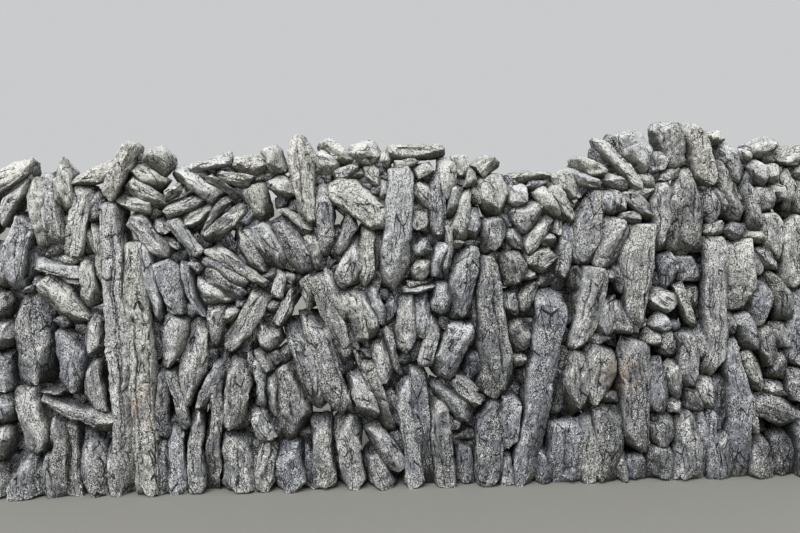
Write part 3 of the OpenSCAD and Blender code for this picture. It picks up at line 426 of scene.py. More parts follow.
@dataclass
class Block:
    """One stone as the frame has it, a convex block between flat sides, in metres."""

    corners: Array
    normals: Array
    reaches: Array
    shares: Array
    centre: Array
    axes: Array
    # The smallest side that counts, and the cosine from where sides count as one, and over what
    least_side: float = 1e-10
    alike_from: float = 0.9
    alike_over: float = 0.1
    # The deepest chip as a share of the reach, and how far one may face the ground
    most_chipped: float = 0.3
    most_down: float = -0.2
    # How wide and how strongly an edge shows
    edge_share: float = 0.16
    edge_rise: float = 4.0
    # How the worn surface is sought: in so many rounds, within these shares of the flat sides
    rounds: int = 6
    nearest: float = 0.4
    farthest: float = 1.02

    @classmethod
    def from_triangles(cls, corners: Array, triangles: Array) -> Block:
        """Reads a block from its closed mesh.

        Args:
            corners: the corner points.
            triangles: three corner numbers for each triangle.

        Returns:
            The block, with its long axis found in the plane of the wall.
        """
        a, b, c = (corners[triangles[:, k]] for k in range(3))
        facing = np.cross(b - a, c - a)
        area = np.linalg.norm(facing, axis=1)
        sound = area > cls.least_side
        normals = facing[sound] / area[sound, None]
        area = area[sound]
        middles = ((a + b + c) / 3)[sound]
        centre = (middles * area[:, None]).sum(0) / area.sum()
        alike = np.clip((normals @ normals.T - cls.alike_from) / cls.alike_over, 0, 1) ** 2
        shares = area / (alike @ area)
        flat = (corners - centre)[:, [0, 2]]
        spread, turns = np.linalg.eigh(flat.T @ flat)
        long_way = turns[:, int(np.argmax(spread))]
        long_way = long_way * (1 if long_way[1] >= 0 else -1)
        along = np.array([long_way[0], 0.0, long_way[1]])
        axes = np.stack([along, np.cross(DEPTH_AXIS, along), DEPTH_AXIS])
        reaches = np.einsum("ij,ij->i", normals, middles - centre)
        return cls(corners, normals, reaches, shares, centre, axes)

    @classmethod
    def from_outline(cls, outline: Array, front: float, back: float) -> Block:
        """Makes a block from its outline on the face of the wall.

        Args:
            outline: the corners of the outline as x and z in metres, anticlockwise.
            front: where the block's front side lies through the wall, in metres.
            back: where its back side lies.

        Returns:
            The block, as deep as the two sides are apart.
        """
        count = len(outline)
        corners = np.array([(x, y, z) for y in (front, back) for x, z in outline])
        triangles = []
        for k in range(count):
            far = (k + 1) % count
            triangles += [(k, k + count, far), (k + count, far + count, far)]
            if 0 < k < count - 1:
                triangles += [(0, k, far), (count, far + count, k + count)]
        return cls.from_triangles(corners, np.array(triangles))

    @property
    def local(self) -> Array:
        """The corners along the block's own axes."""
        return (self.corners - self.centre) @ self.axes.T

    @property
    def grounded(self) -> bool:
        """Whether the block stands on the ground."""
        return bool(self.corners[:, 2].min() < MM)

    def chipped(self, worn: Weathering, rng: np.random.Generator) -> Block:
        """Breaks corners off the block.

        Args:
            worn: how many corners go, and how deep.
            rng: the stone's own random draws.

        Returns:
            A block with one more side for each chip.
        """
        local = self.local
        half = np.abs(local).max(0)
        cuts = []
        for end, side in product((-1.0, 1.0), repeat=2):
            turn = rng.uniform(*worn.end_turn)
            depth = rng.uniform(*(worn.nose if rng.random() < worn.tapered else worn.blunt)) * half[1]
            for face in (-1.0, 1.0):
                lean = face * rng.uniform(*worn.end_lean)
                cuts.append((np.array([end * math.cos(turn), side * math.sin(turn), lean]), depth))
        for _ in repeats(rng, worn.chips):
            way = rng.choice((-1.0, 1.0), 3) * rng.uniform(worn.chip_way, 1.0)
            cuts.append((way, rng.uniform(*worn.chip) * MM))
        for face in (-1.0, 1.0):
            for _ in repeats(rng, worn.flats):
                side = rng.choice((-1.0, 1.0))
                way = np.array([rng.uniform(*worn.flat_turn), side * rng.uniform(*worn.flat_tilt), face])
                at = [rng.uniform(*worn.flat_along), side * rng.uniform(*worn.flat_across), face]
                depth = float((local @ way).max() - np.array(at) * half @ way)
                cuts.append((way, depth / np.linalg.norm(way)))
        normals, reaches = [self.normals], [self.reaches]
        for way, depth in cuts:
            way = way / np.linalg.norm(way)
            reach = float((local @ way).max())
            way = way @ self.axes
            if self.grounded and way[2] < self.most_down:
                continue
            normals.append(way[None])
            reaches.append([reach - min(max(depth, 0.0), self.most_chipped * reach)])
        sides, reach = np.concatenate(normals), np.concatenate(reaches)
        shares = np.concatenate([self.shares, np.ones(len(sides) - len(self.shares))])
        return Block(self.corners, sides, reach, shares, self.centre, self.axes)

    def lattice(self, worn: Weathering) -> Pair:
        """Lays a lattice round the block that follows its outline.

        Args:
            worn: the spacing of the lattice and its rings through the wall.

        Returns:
            The lattice points from the block's centre, in its own axes, and the quads.
        """
        local = self.local
        low, high = local.min(0), local.max(0)
        cells = tuple(
            max(worn.fewest, round((high[k] - low[k]) / (worn.grid * MM))) for k in (0, 1)
        ) + (len(worn.rings) - 1,)
        points, quads = box_shell(cells)
        u = low[0] + (high[0] - low[0]) * points[:, 0] / cells[0]
        left, right = self.edges(local, u)
        v = left + (right - left) * points[:, 1] / cells[1]
        y = low[2] + (high[2] - low[2]) * np.array(worn.rings)[points[:, 2]]
        return np.stack([u, v, y], axis=1), quads

    @staticmethod
    def edges(local: Array, u: Array) -> Pair:
        """Finds the two long edges of the block's outline at places along it.

        Args:
            local: the corners in the block's own axes.
            u: the places along the block.

        Returns:
            The lower and the upper edge across the block, kept a third of its width apart.
        """
        found = []
        for sign in (-1.0, 1.0):
            chain: list[Array] = []
            for p in sorted(local[:, :2].tolist(), key=lambda q: (q[0], -sign * q[1])):
                while len(chain) > 1:
                    (ax, ay), (bx, by) = chain[-2], chain[-1]
                    if sign * ((bx - ax) * (p[1] - ay) - (by - ay) * (p[0] - ax)) < 0:
                        break
                    chain.pop()
                chain.append(p)
            run = np.array(chain)
            found.append(np.interp(u, run[:, 0], run[:, 1]))
        middle = (found[0] + found[1]) / 2
        least = (local[:, 1].max() - local[:, 1].min()) / 6
        return np.minimum(found[0], middle - least), np.maximum(found[1], middle + least)

    def rounded(self, ways: Array, softness: Array, growth: Array) -> tuple[Array, Array, Array]:
        """Finds where lines from the centre leave the block with its edges worn round.

        Args:
            ways: the directions of the lines, in the world's axes.
            softness: about the radius of the wear along each line, in metres.
            growth: how far the sides are moved out to meet the next stone, in metres. The faces
                of the wall and the tops of the stones stay where they are.

        Returns:
            The points on the worn block, from its centre, the way out at each, and how near
            each is to an edge, from 0 to 1.
        """
        room = (1 - self.normals[:, 1] ** 2) * (1 - np.clip(self.normals[:, 2], 0, 1))
        reaches = self.reaches + growth[:, None] * room
        rates = ways @ self.normals.T
        flat = 1 / (rates / reaches).max(1)
        reach = flat.copy()
        for _ in range(self.rounds):
            rise = (reach[:, None] * rates - reaches) / softness[:, None]
            peak = rise.max(1, keepdims=True)
            parts = self.shares * np.exp(rise - peak)
            total = parts.sum(1)
            level = softness * (np.log(total) + peak[:, 0])
            slope = (parts * rates).sum(1) / total
            reach = np.clip(reach - level / slope, self.nearest * flat, self.farthest * flat)
        out = parts @ self.normals
        wide = self.shares * np.exp(self.edge_share * (rise - peak))
        mean = wide @ self.normals / wide.sum(1, keepdims=True)
        edge = np.clip(self.edge_rise * (1 - np.linalg.norm(mean, axis=1)), 0, 1)
        return ways * reach[:, None], out / np.linalg.norm(out, axis=1, keepdims=True), edge


@dataclass
class Skin:
    """The mesh of one weathered stone, and what its material needs to know at each point."""

    points: Array
    quads: Array
    rock: Array
    wear: Array
    stain: Array


@dataclass(frozen=True)
class Spot:
    """A round place on the face of the wall, such as a stain or a gap, in metres."""

    x: float
    z: float
    radius: float
    rise: float = 1.5

    def strength(self, points: Array) -> Array:
        """Gives how strong the spot is at points, from 0 to 1."""
        away = np.hypot(points[:, 0] - self.x, points[:, 2] - self.z)
        return np.clip(self.rise - self.rise * away / self.radius, 0, 1)


OCHRE_SPOTS = (Spot(-1.05, 0.37, 0.10), Spot(0.84, 0.45, 0.12))
# The stones whose thin beds show as ledges; each place is near the middle of one of them
THIN_BEDDED = (
    Spot(-0.76, 1.05, 0.02),
    Spot(0.07, 1.335, 0.03),
    Spot(0.43, 1.3, 0.03),
    Spot(1.52, 1.325, 0.03),
    Spot(-0.17, 1.2, 0.05),
)
# How such a stone differs from the others of its kind
THIN_BEDS = {"grid": 6.0, "bed": (8.0, 13.0)}


@dataclass
class Stone:
    """One stone of the wall while its skin is made."""

    block: Block
    worn: Weathering
    bedding: Bedding
    rng: np.random.Generator
    tone: float
    tint: float
    height: float

    def bed_wear(self, local: Array, out: Array) -> Pair:
        """Steps and grooves between the beds of the slab.

        Args:
            local: places in the stone's axes, in millimetres.
            out: the way out at each place, in the stone's axes.

        Returns:
            How deep the beds and the grooves between them are worn back, in millimetres.
        """
        worn, rng = self.worn, self.rng
        bed = rng.uniform(*worn.bed)
        level = (local[:, 1] + grain(local, worn.bed_layers)) / bed
        number = np.floor(level).astype(int)
        part = level - number
        back = rng.uniform(0, 1, worn.bed_count) ** worn.step_power
        cut = rng.uniform(0, 1, worn.bed_count) ** worn.groove_power
        here, above = number % worn.bed_count, (number + 1) % worn.bed_count
        ease = np.clip((part - worn.step_from) / worn.step_over, 0, 1)
        ease = ease * ease * (3 - 2 * ease)
        step = back[here] * (1 - ease) + back[above] * ease
        near = np.minimum(part, 1 - part) * bed
        groove = np.where(part < 0.5, cut[here], cut[above]) * np.exp(-((near / worn.groove_width) ** 2))
        broken = np.clip(worn.groove_kept + grain(local, worn.groove_layers), 0, 1)
        shown = self.bedding.value * (1 - out[:, 1] ** 2)
        ends = 1 + worn.end_step * out[:, 0] ** 2
        return shown * worn.bed_step * step * ends, shown * worn.groove * groove * broken

    def crack_wear(self, local: Array, out: Array) -> Array:
        """Cracks that run down the stone, and short ones across it.

        Args:
            local: places in the stone's axes, in millimetres.
            out: the way out at each place, in the stone's axes.

        Returns:
            How deep the cracks are at each place, in millimetres.
        """
        rng, worn = self.rng, self.worn
        half = np.abs(local).max(0)
        cracks = []
        for _ in repeats(rng, worn.cracks):
            span = np.sort(rng.uniform(*worn.crack_ends, 2)) * half[0]
            cracks.append((0, rng.uniform(*worn.crack_across) * half[1], span))
        for _ in repeats(rng, worn.cross_cracks):
            start = rng.uniform(*worn.cross_start) * half[1]
            span = start + np.array([0.0, rng.uniform(*worn.cross_length) * half[1]])
            cracks.append((1, rng.uniform(*worn.cross_along) * half[0], span))
        depth = np.zeros(len(local))
        for number, (way, middle, span) in enumerate(cracks):
            run = np.zeros_like(local)
            run[:, 0] = local[:, way] + worn.crack_pitch * number
            wander = grain(run, worn.crack_layers)
            away = np.abs(local[:, 1 - way] - middle - wander) / worn.crack_width
            ends = np.minimum(local[:, way] - span[0], span[1] - local[:, way])
            fade = np.clip(ends / worn.crack_fade, 0, 1)
            depth = np.maximum(depth, worn.crack_depth * fade * np.exp(-(away**2)))
        return depth * (1 - out[:, 1] ** 2)

    def wear(self, local: Array, rock: Array, out: Array, exposed: Array) -> Pair:
        """Wears the surface back and leaves it uneven.

        Args:
            local: places in the stone's axes, in millimetres.
            rock: the same places in the grain.
            out: the way out at each place, in the stone's axes.
            exposed: how near each place is to a face of the wall, from 0 to 1.

        Returns:
            How far each place is worn back, in millimetres, and how dark its cracks and pits are painted,
            for the dirt and the shade in them.
        """
        worn = self.worn
        pits = np.clip(grain(rock, worn.pit_layers) - worn.pit_from, 0, 1)
        beds, grooves = self.bed_wear(rock, out)
        cracks = np.maximum(grooves, self.crack_wear(local, out))
        inward = worn.pit * pits + beds + cracks
        inward *= worn.waist_wear + (1 - worn.waist_wear) * exposed
        inward -= worn.swell * grain(rock, worn.swell_layers) + worn.rough * grain(rock, worn.rough_layers)
        most = worn.deepest * np.abs(local[:, 1]).max()
        inward = np.where(inward > 0, most * (1 - np.exp(-inward / most)), inward)
        inward = np.maximum(inward, -worn.proud * (1 - out[:, 2] ** 2))
        return inward, np.clip((cracks + worn.pit_dark * worn.pit * pits) / worn.dark_recess, 0, 1)

    def skin(self) -> Skin:
        """Makes the stone's weathered skin.

        Returns:
            Its mesh, and what its material needs to know.
        """
        worn, rng = self.worn, self.rng
        block = self.block.chipped(worn, rng)
        lattice, quads = block.lattice(worn)
        half = np.abs(block.local).max(0)
        exposed = np.clip(worn.face_rise * np.abs(lattice[:, 2]) / half[2] - worn.face_from, 0, 1)
        softness = min(rng.uniform(*worn.rounding) * half[1], worn.softest * MM)
        softness = worn.sharpest * MM + (softness - worn.sharpest * MM) * exposed
        growth = worn.spread * MM * (1 - (1 - worn.face_spread) * exposed)
        surface, out, edge = block.rounded(lattice @ block.axes, softness, growth)
        local = (surface @ block.axes.T) / MM
        rock = local + rng.uniform(0, ROCK_SPAN, 3)
        inward, recess = self.wear(local, rock, out @ block.axes.T, exposed)
        points = block.centre + surface - out * inward[:, None] * MM
        points += WARP.shift(points, self.height)
        if block.grounded:
            points[points[:, 2] < worn.foot_flat * MM, 2] = 0.0
        points[:, 2] = np.maximum(points[:, 2], 0.0)
        x, y, z = np.abs(points).T
        # Painted shade: the deeper a place lies behind the faces or the ends of the wall, the darker it is
        # painted; an open top spares surfaces facing up
        inside = np.minimum(wall_face(z, self.height) - y, END_FACE - x)
        behind = np.clip(inside / (worn.painted_shade_depth * MM), 0, 1)
        behind *= 1 - worn.top_spared_painted_shade * np.clip(out[:, 2], 0, 1)
        # Worn crests are lighter, as bleached rock, with a painted highlight added where they face up
        crest = edge * np.clip(worn.crest_kept + grain(rock, worn.crest_layers), 0, 1)
        bleach_and_highlight_share = np.clip(worn.bleached_side + worn.painted_highlight_up * out[:, 2], 0, 1)
        tone = self.tone + worn.bleached * crest * bleach_and_highlight_share
        ochre = np.max([spot.strength(points) for spot in OCHRE_SPOTS], axis=0) * (points[:, 1] < 0)
        # The wear attribute holds the tone with the bleach and the painted highlight, the darkness of
        # recesses for dirt and painted shade, and the painted shade behind the faces
        return Skin(
            points,
            quads,
            rock * MM,
            np.stack([tone, recess, behind], axis=1),
            np.stack([ochre, z / self.height, np.full(len(points), self.tint)], axis=1),
        )


def loose_blocks(mesh: Mesh) -> list[Block]:
    """Splits a node's mesh into its loose solids.

    Args:
        mesh: the node's mesh, in triangles.

    Returns:
        One block for each solid, from left to right.
    """
    flat = np.empty(len(mesh.vertices) * 3)
    mesh.vertices.foreach_get("co", flat)
    corners, number = np.unique(flat.reshape(-1, 3).round(CORNER_DIGITS), axis=0, return_inverse=True)
    triangles = np.array([[number.ravel()[v] for v in p.vertices] for p in mesh.polygons])
    group = np.arange(len(corners))
    while True:
        least = group[triangles].min(1)
        before = group.copy()
        for k in range(3):
            np.minimum.at(group, triangles[:, k], least)
        if (group == before).all():
            break
    blocks = []
    for g in np.unique(group[triangles[:, 0]]):
        mine = triangles[group[triangles[:, 0]] == g]
        used, small = np.unique(mine, return_inverse=True)
        blocks.append(Block.from_triangles(corners[used], small.reshape(-1, 3)))
    return sorted(blocks, key=lambda b: (round(float(b.centre[0]), COLUMN_DIGITS), b.centre[2]))


@dataclass(frozen=True)
class Mottling:
    """An uneven colour and relief of the rock, with its sizes in millimetres.

    The size is that of one patch along, across and through the slab. The tone is how much the
    patches lighten and darken the rock, and the relief is how high they stand. A patchy one
    grows and fades from place to place by the share given.
    """

    size: Size
    tone: float
    relief: float
    detail: float = 4.0
    roughness: float = 0.6
    patchy: float = 0.0


@dataclass(frozen=True)
class Spots:
    """Scattered spots of the rock, such as pits or lichen, with their size in millimetres.

    They show where the noise of their size goes from the first to the second share.
    """

    size: Size
    shown: Span
    tone: float
    relief: float
    detail: float = 1.0


@dataclass(frozen=True)
class Fissures:
    """Thin dark lines where the rock has opened, broken off here and there.

    The cell is the piece of rock between them along, across and through the slab, and the gap
    is their width as a share of it. They show where noise of their own size goes from the first
    to the second share.
    """

    cell: Size
    gap: float
    size: Size
    shown: Span
    tone: float
    relief: float
    detail: float = 2.0


def per_patch(size: Size) -> tuple[float, ...]:
    """Gives what turns metres into patches of a size in millimetres."""
    return tuple(1 / (s * MM) for s in size)


@dataclass
class Surface:
    """The tone and the relief of the rock while its shader is put together."""

    tree: NodeTree
    tone: object
    relief: object = 0.0

    def add(self, value: object, tone: object = 1.0, relief: float = 0.0) -> None:
        """Adds shares of a value to the tone and to the relief.

        Args:
            value: the value.
            tone: how much of it lightens the rock.
            relief: how much of it raises the surface, in millimetres.
        """
        self.tone = add_node(self.tree, *ADDED, (value, tone, self.tone))
        if relief:
            self.relief = add_node(self.tree, *ADDED, (value, relief, self.relief))

    def mottle(self, mottlings: tuple[Mottling, ...], rock: object, fading: Span) -> list[Node]:
        """Adds the mottlings.

        Args:
            mottlings: from the coarsest to the finest.
            rock: the places in the rock, in metres.
            fading: where in the coarsest one a patchy one is weakest and strongest.

        Returns:
            The patches of each.
        """
        found = []
        for mottling in mottlings:
            links = {"Vector": add_node(self.tree, *SCALED, (rock, per_patch(mottling.size)))}
            links |= {"Scale": 1.0, "Detail": mottling.detail, "Roughness": mottling.roughness}
            found.append(add_node(self.tree, *NOISE, links))
            share = mottling.tone
            if mottling.patchy:
                ends = (mottling.tone * (1 + way * mottling.patchy) for way in (-1, 1))
                share = add_node(self.tree, *EASED, (found[0], *fading, *ends))
            self.add(found[-1], share, mottling.relief)
            # The patches are about one half, so half their share is taken off again
            self.add(share, -0.5)
        return found

    def mark(self, marks: tuple[Spots | Fissures, ...], rock: object, places: object) -> None:
        """Adds spots or fissures.

        Args:
            marks: what to add.
            rock: the places in the rock, in metres.
            places: the same before the rock was bent, for where fissures show.
        """
        for mark in marks:
            broken = isinstance(mark, Fissures)
            at = add_node(self.tree, *SCALED, (places if broken else rock, per_patch(mark.size)))
            links = {"Vector": at, "Scale": 1.0, "Detail": mark.detail}
            shown = add_node(self.tree, *EASED, (add_node(self.tree, *NOISE, links), *mark.shown, 0.0, 1.0))
            if broken:
                at = add_node(self.tree, *SCALED, (rock, per_patch(mark.cell)))
                away = add_node(self.tree, *CRACKED, {"Vector": at, "Scale": 1.0})
                line = add_node(self.tree, *EASED, (away, 0.0, mark.gap, 1.0, 0.0))
                shown = add_node(self.tree, *MULTIPLIED, (line, shown))
            self.add(shown, mark.tone, mark.relief)


@dataclass(frozen=True)
class Limestone:
    """Weathered Carboniferous limestone, rain-worn and frost-split, never dressed or polished.

    The stone is a fine grey micrite. Rain has dissolved pits and flutes into it, pale crust
    lichen grows where it is dry, and dark films of algae where it stays damp. To the eye it is
    matt and speckled, cool grey, whitish on its crests and near black in its pits and joints.
    The colour also carries painted light: lighter facing up, a painted highlight on upward crests,
    and painted shade in recesses, deep in the wall and on the undersides, which take the algae colour.
    """

    slot: str
    lightness: float = 0.0
    pit: str = "#1b1b1d"
    deep: str = "#55565a"
    body: str = "#7e7f83"
    pale: str = "#9c9c9b"
    lichen: str = "#e0e0dc"
    warm: str = "#fffefa"
    cool: str = "#f7f9ff"
    # The algae colour also serves as painted shade on the undersides
    algae: str = "#4b4a3c"
    ochre: str = "#8f6a3a"
    mottlings: tuple[Mottling, ...] = (
        Mottling((110.0, 70.0, 80.0), 0.7, 0.0, 2.0),
        Mottling((60.0, 18.0, 40.0), 0.5, 9.0, 4.0, 0.55),
        Mottling((26.0, 8.0, 20.0), 0.65, 5.0, 3.0, 0.62),
        Mottling((5.2, 3.8, 4.6), 2.1, 1.5, 1.0, 0.6, patchy=0.7),
    )
    fading: Span = (0.38, 0.62)
    spots: tuple[Spots, ...] = (
        # The first spots are dark sunk pits, their dark colour partly their own and partly painted shade in
        # them
        Spots((7.0, 5.5, 6.5), (0.58, 0.67), -0.4, -3.5),
        Spots((13.0, 11.0, 12.0), (0.6, 0.68), 0.2, 0.5),
    )
    fissures: tuple[Fissures, ...] = (
        Fissures((170.0, 42.0, 100.0), 0.035, (90.0, 70.0, 90.0), (0.5, 0.56), -0.7, -5.0),
        Fissures((60.0, 28.0, 60.0), 0.05, (60.0, 50.0, 60.0), (0.55, 0.62), -0.5, -3.0),
    )
    # How far the rock is bent, in millimetres, and over what lengths
    bend: float = 16.0
    bend_size: Size = (55.0, 26.0, 40.0)
    bend_detail: float = 3.0
    # The tone before all else, and how much it takes of each stone's own and of the height
    base: float = 0.36
    own_tone: float = 0.4
    higher: float = 0.12
    # What follows a direction or a depth: from one value to another, and what it gives there
    # Painted light: surfaces facing up are lighter, those facing down darker
    painted_top_light: Step = (-0.6, 0.8, -0.16, 0.12)
    # Recesses darker for the dirt and the painted shade in them
    dirt_and_shade_in_recess: Step = (0.1, 0.9, 0.0, -0.4)
    # Painted shade: places deeper behind the faces of the wall are darker
    painted_shade_behind_face: Step = (0.18, 0.55, 0.0, -0.38)
    # Painted shade: surfaces facing down take the algae colour, fading out towards sideways
    painted_underside_shade: Step = (-0.7, 0.1, 0.6, 0.0)
    damp_patch: Step = (0.52, 0.66, 0.0, 0.2)
    stain_patch: Step = (0.45, 0.65, 0.0, 0.5)
    warm_stones: Step = (0.5, 1.0, 0.0, 1.0)
    cool_stones: Step = (0.0, 0.5, 1.0, 0.0)
    # Where in the tones the three greys between pit and lichen lie
    places: Size = (0.22, 0.45, 0.7)
    roughness: float = 0.92
    ior: float = 1.5

    def material(self) -> Material:
        """Builds the shader.

        Returns:
            The material, named for the stone.
        """
        material = bpy.data.materials.new(f"weathered_{self.slot}")
        material.use_nodes = True
        tree = material.node_tree
        plain, wear, stain = (
            add_node(tree, "ShaderNodeAttribute", {"attribute_name": name}).outputs["Vector"]
            for name in ("rock", "wear", "stain")
        )
        normal = add_node(tree, "ShaderNodeNewGeometry").outputs["Normal"]
        # The stone's tone with bleach and painted highlight, its recess darkness for dirt and painted
        # shade, and its painted shade behind the faces
        own, recess, behind = add_node(tree, *PARTED, (wear,)).outputs
        stained, height, tint = add_node(tree, *PARTED, (stain,)).outputs
        up = add_node(tree, *PARTED, (normal,)).outputs["Z"]

        surface = Surface(tree, self.base + self.lightness)
        at = add_node(tree, *SCALED, (plain, per_patch(self.bend_size)))
        links = {"Vector": at, "Scale": 1.0, "Detail": self.bend_detail}
        sway = add_node(tree, *NOISE, links).outputs["Color"]
        rock = add_node(tree, *SWAYED, (sway, (self.bend * MM,) * 3, plain))
        patches = surface.mottle(self.mottlings, rock, self.fading)
        surface.mark(self.spots + self.fissures, rock, plain)
        surface.add(own, self.own_tone)
        surface.add(height, self.higher)
        # Painted light and shade: lighter facing up and darker facing down, darker in recesses, and darker
        # deeper behind the faces
        for value, step in ((up, self.painted_top_light), (recess, self.dirt_and_shade_in_recess), (behind, self.painted_shade_behind_face)):
            surface.add(add_node(tree, *EASED, (value, *step)))

        colour = add_node(tree, "ShaderNodeValToRGB", None, (surface.tone,))
        band = colour.color_ramp.elements
        band[0].color, band[1].color = hex_to_linear(self.pit), hex_to_linear(self.lichen)
        for place, code in zip(self.places, (self.deep, self.body, self.pale)):
            band.new(place).color = hex_to_linear(code)
        warm = add_node(tree, *EASED, (tint, *self.warm_stones))
        cool = add_node(tree, *EASED, (tint, *self.cool_stones))
        damp = add_node(tree, *EASED, (patches[0], *self.damp_patch))
        # Damp patches, and the undersides as painted shade, take the algae colour
        damp = add_node(tree, *ADDED, (add_node(tree, *EASED, (up, *self.painted_underside_shade)), 1.0, damp))
        rusty = add_node(tree, *EASED, (patches[1], *self.stain_patch))
        rusty = add_node(tree, *MULTIPLIED, (stained, rusty))
        for share, code, blend in (
            (warm, self.warm, "MULTIPLY"),
            (cool, self.cool, "MULTIPLY"),
            (damp, self.algae, "MIX"),
            (rusty, self.ochre, "MIX"),
        ):
            settings = {"data_type": "RGBA", "blend_type": blend}
            links = {"Factor": share, "A": colour, "B": hex_to_linear(code)}
            colour = add_node(tree, "ShaderNodeMix", settings, links).outputs["Result"]
        links = {"Strength": 1.0, "Distance": MM, "Height": surface.relief}
        bump = add_node(tree, "ShaderNodeBump", None, links)
        shader = tree.nodes["Principled BSDF"]
        shader.inputs["Roughness"].default_value = self.roughness
        shader.inputs["IOR"].default_value = self.ior
        tree.links.new(colour, shader.inputs["Base Color"])
        tree.links.new(bump.outputs["Normal"], shader.inputs["Normal"])
        return material


@dataclass
class StoneWork:
    """Stones of one kind that share a way of wearing and a finish."""

    nodes: Names
    worn: Weathering = Weathering()
    beddings: tuple[Bedding, ...] = (Bedding.MASSIVE, Bedding.BEDDED, Bedding.LAMINATED)
    odds: tuple[float, ...] = (0.3, 0.5, 0.2)
    tone: Span = (0.15, 0.85)
    in_frame: bool = True

    def stones(self, name: str, frame: dict, height: float) -> list[Stone]:
        """Makes the stones of one node.

        Args:
            name: the node's name.
            frame: the loaded frame.
            height: the height of the wall, in metres.

        Returns:
            The stones, each with its own random draws.
        """
        number = (sorted(frame["nodes"]) + list(self.nodes)).index(name)
        found = []
        for k, block in enumerate(self.blocks(name, frame)):
            rng = np.random.default_rng([SEED, number, k])
            bedding = self.beddings[int(rng.choice(len(self.beddings), p=self.odds))]
            tone = rng.uniform(*self.tone) + RISE * (block.centre[2] / height - 0.5)
            tone -= DRIFT * block.centre[0]
            tint = rng.uniform(0, 1)
            worn = self.worn
            if any(spot.strength(block.centre[None]) > 0 for spot in THIN_BEDDED):
                bedding, worn = Bedding.LAMINATED, replace(worn, **THIN_BEDS)
            found.append(Stone(block, worn, bedding, rng, float(tone), tint, height))
        return found

    def blocks(self, name: str, frame: dict) -> list[Block]:
        """Reads the blocks of one node from the frame."""
        return loose_blocks(frame["nodes"][name].data)

    def build(self, name: str, frame: dict, height: float) -> Object:
        """Joins the skins of one node's stones in one mesh.

        Args:
            name: the node's name.
            frame: the loaded frame.
            height: the height of the wall, in metres.

        Returns:
            The new piece, linked to the scene.
        """
        skins = [stone.skin() for stone in self.stones(name, frame, height)]
        starts = np.cumsum([0] + [len(s.points) for s in skins[:-1]])
        points = np.concatenate([s.points for s in skins])
        quads = np.concatenate([s.quads + n for s, n in zip(skins, starts)])
        mesh = bpy.data.meshes.new(f"{name}_skin")
        mesh.vertices.add(len(points))
        mesh.vertices.foreach_set("co", points.ravel())
        mesh.loops.add(quads.size)
        mesh.loops.foreach_set("vertex_index", quads.ravel())
        mesh.polygons.add(len(quads))
        mesh.polygons.foreach_set("loop_start", np.arange(0, quads.size, 4))
        mesh.update(calc_edges=True)
        mesh.validate()
        mesh.shade_smooth()
        mesh.set_sharp_from_angle(angle=SHARP_FROM)
        for label in ("rock", "wear", "stain"):
            values = np.concatenate([getattr(s, label) for s in skins])
            attribute = mesh.attributes.new(label, "FLOAT_VECTOR", "POINT")
            attribute.data.foreach_set("vector", values.astype(np.float32).ravel())
        piece = bpy.data.objects.new(f"{name}_skin", mesh)
        bpy.context.scene.collection.objects.link(piece)
        return piece

    def dress(self, piece: Object, name: str, slot: str, material: Material) -> None:
        """Gives a piece its finish and its place on the frame.

        Args:
            piece: the joined skins.
            name: the node that the piece stands for.
            slot: the record's material slot; not used.
            material: the finish.
        """
        piece.data.materials.append(material)
        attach(piece, BODY)
        if self.in_frame:
            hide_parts(name)


BAYS = range(1, 7)


def in_bays(kind: str, bays: range = BAYS) -> Names:
    """Names the nodes of one kind of stone, bay by bay."""
    return tuple(f"{kind}_bay_{bay}" for bay in bays)


@dataclass
class FootCourse(StoneWork):
    """The stones that stand on the ground."""

    nodes: Names = in_bays("foot_stones")
    tone: Span = (0.1, 0.75)


@dataclass
class StandingStones(StoneWork):
    """The tall stones set upright."""

    nodes: Names = in_bays("standing_stones") + ("pale_upright",)


@dataclass
class LeaningStones(StoneWork):
    """The long slabs that lean against the standing ones."""

    nodes: Names = in_bays("leaning_stones") + ("leaning_slab",)


@dataclass
class WedgeStones(StoneWork):
    """The smaller stones wedged between the large ones."""

    nodes: Names = in_bays("wedge_stones") + ("closing_stones_left", "closing_stones_right")
    worn: Weathering = Weathering(swell=2.0, flats=(3, 5), chips=(3, 6), chip=(9.0, 34.0))


@dataclass
class CopeCourse(StoneWork):
    """The ragged stones along the top, bleached by the weather."""

    nodes: Names = in_bays("cope_stones")
    worn: Weathering = Weathering(
        grid=7.0, spread=14.0, face_spread=0.5, chips=(3, 6), chip=(10.0, 36.0), top_spared_painted_shade=1.0
    )
    tone: Span = (0.4, 0.9)


@dataclass
class GreatCopeStones(StoneWork):
    """The peaked and the highest cope stone, and the laminated block below them."""

    nodes: Names = ("peaked_cope", "highest_cope", "leaning_block")
    worn: Weathering = Weathering(
        grid=6.0, spread=12.0, tapered=0.0, flats=(2, 3), bed=(12.0, 22.0), top_spared_painted_shade=1.0
    )
    beddings: tuple[Bedding, ...] = (Bedding.BEDDED, Bedding.LAMINATED)
    odds: tuple[float, ...] = (0.5, 0.5)
    tone: Span = (0.5, 0.7)


@dataclass
class SplitUpright(StoneWork):
    """The great upright, split from head to foot by long cracks."""

    nodes: Names = ("split_upright",)
    worn: Weathering = Weathering(
        grid=5.0, tapered=0.0, bed=(26.0, 40.0), bed_step=3.0, groove=3.0, chips=(4, 6),
        cracks=(3, 4), cross_cracks=(7, 11), crack_depth=10.0, crack_width=3.6,
    )
    beddings: tuple[Bedding, ...] = (Bedding.BEDDED,)
    odds: tuple[float, ...] = (1.0,)
    tone: Span = (0.55, 0.6)


@dataclass
class Backing(StoneWork):
    """The broad stones at the back of the last two bays."""

    nodes: Names = ("backing_stones_lower", "backing_stones_upper")
    worn: Weathering = Weathering(grid=12.0, spread=14.0, face_spread=0.8)


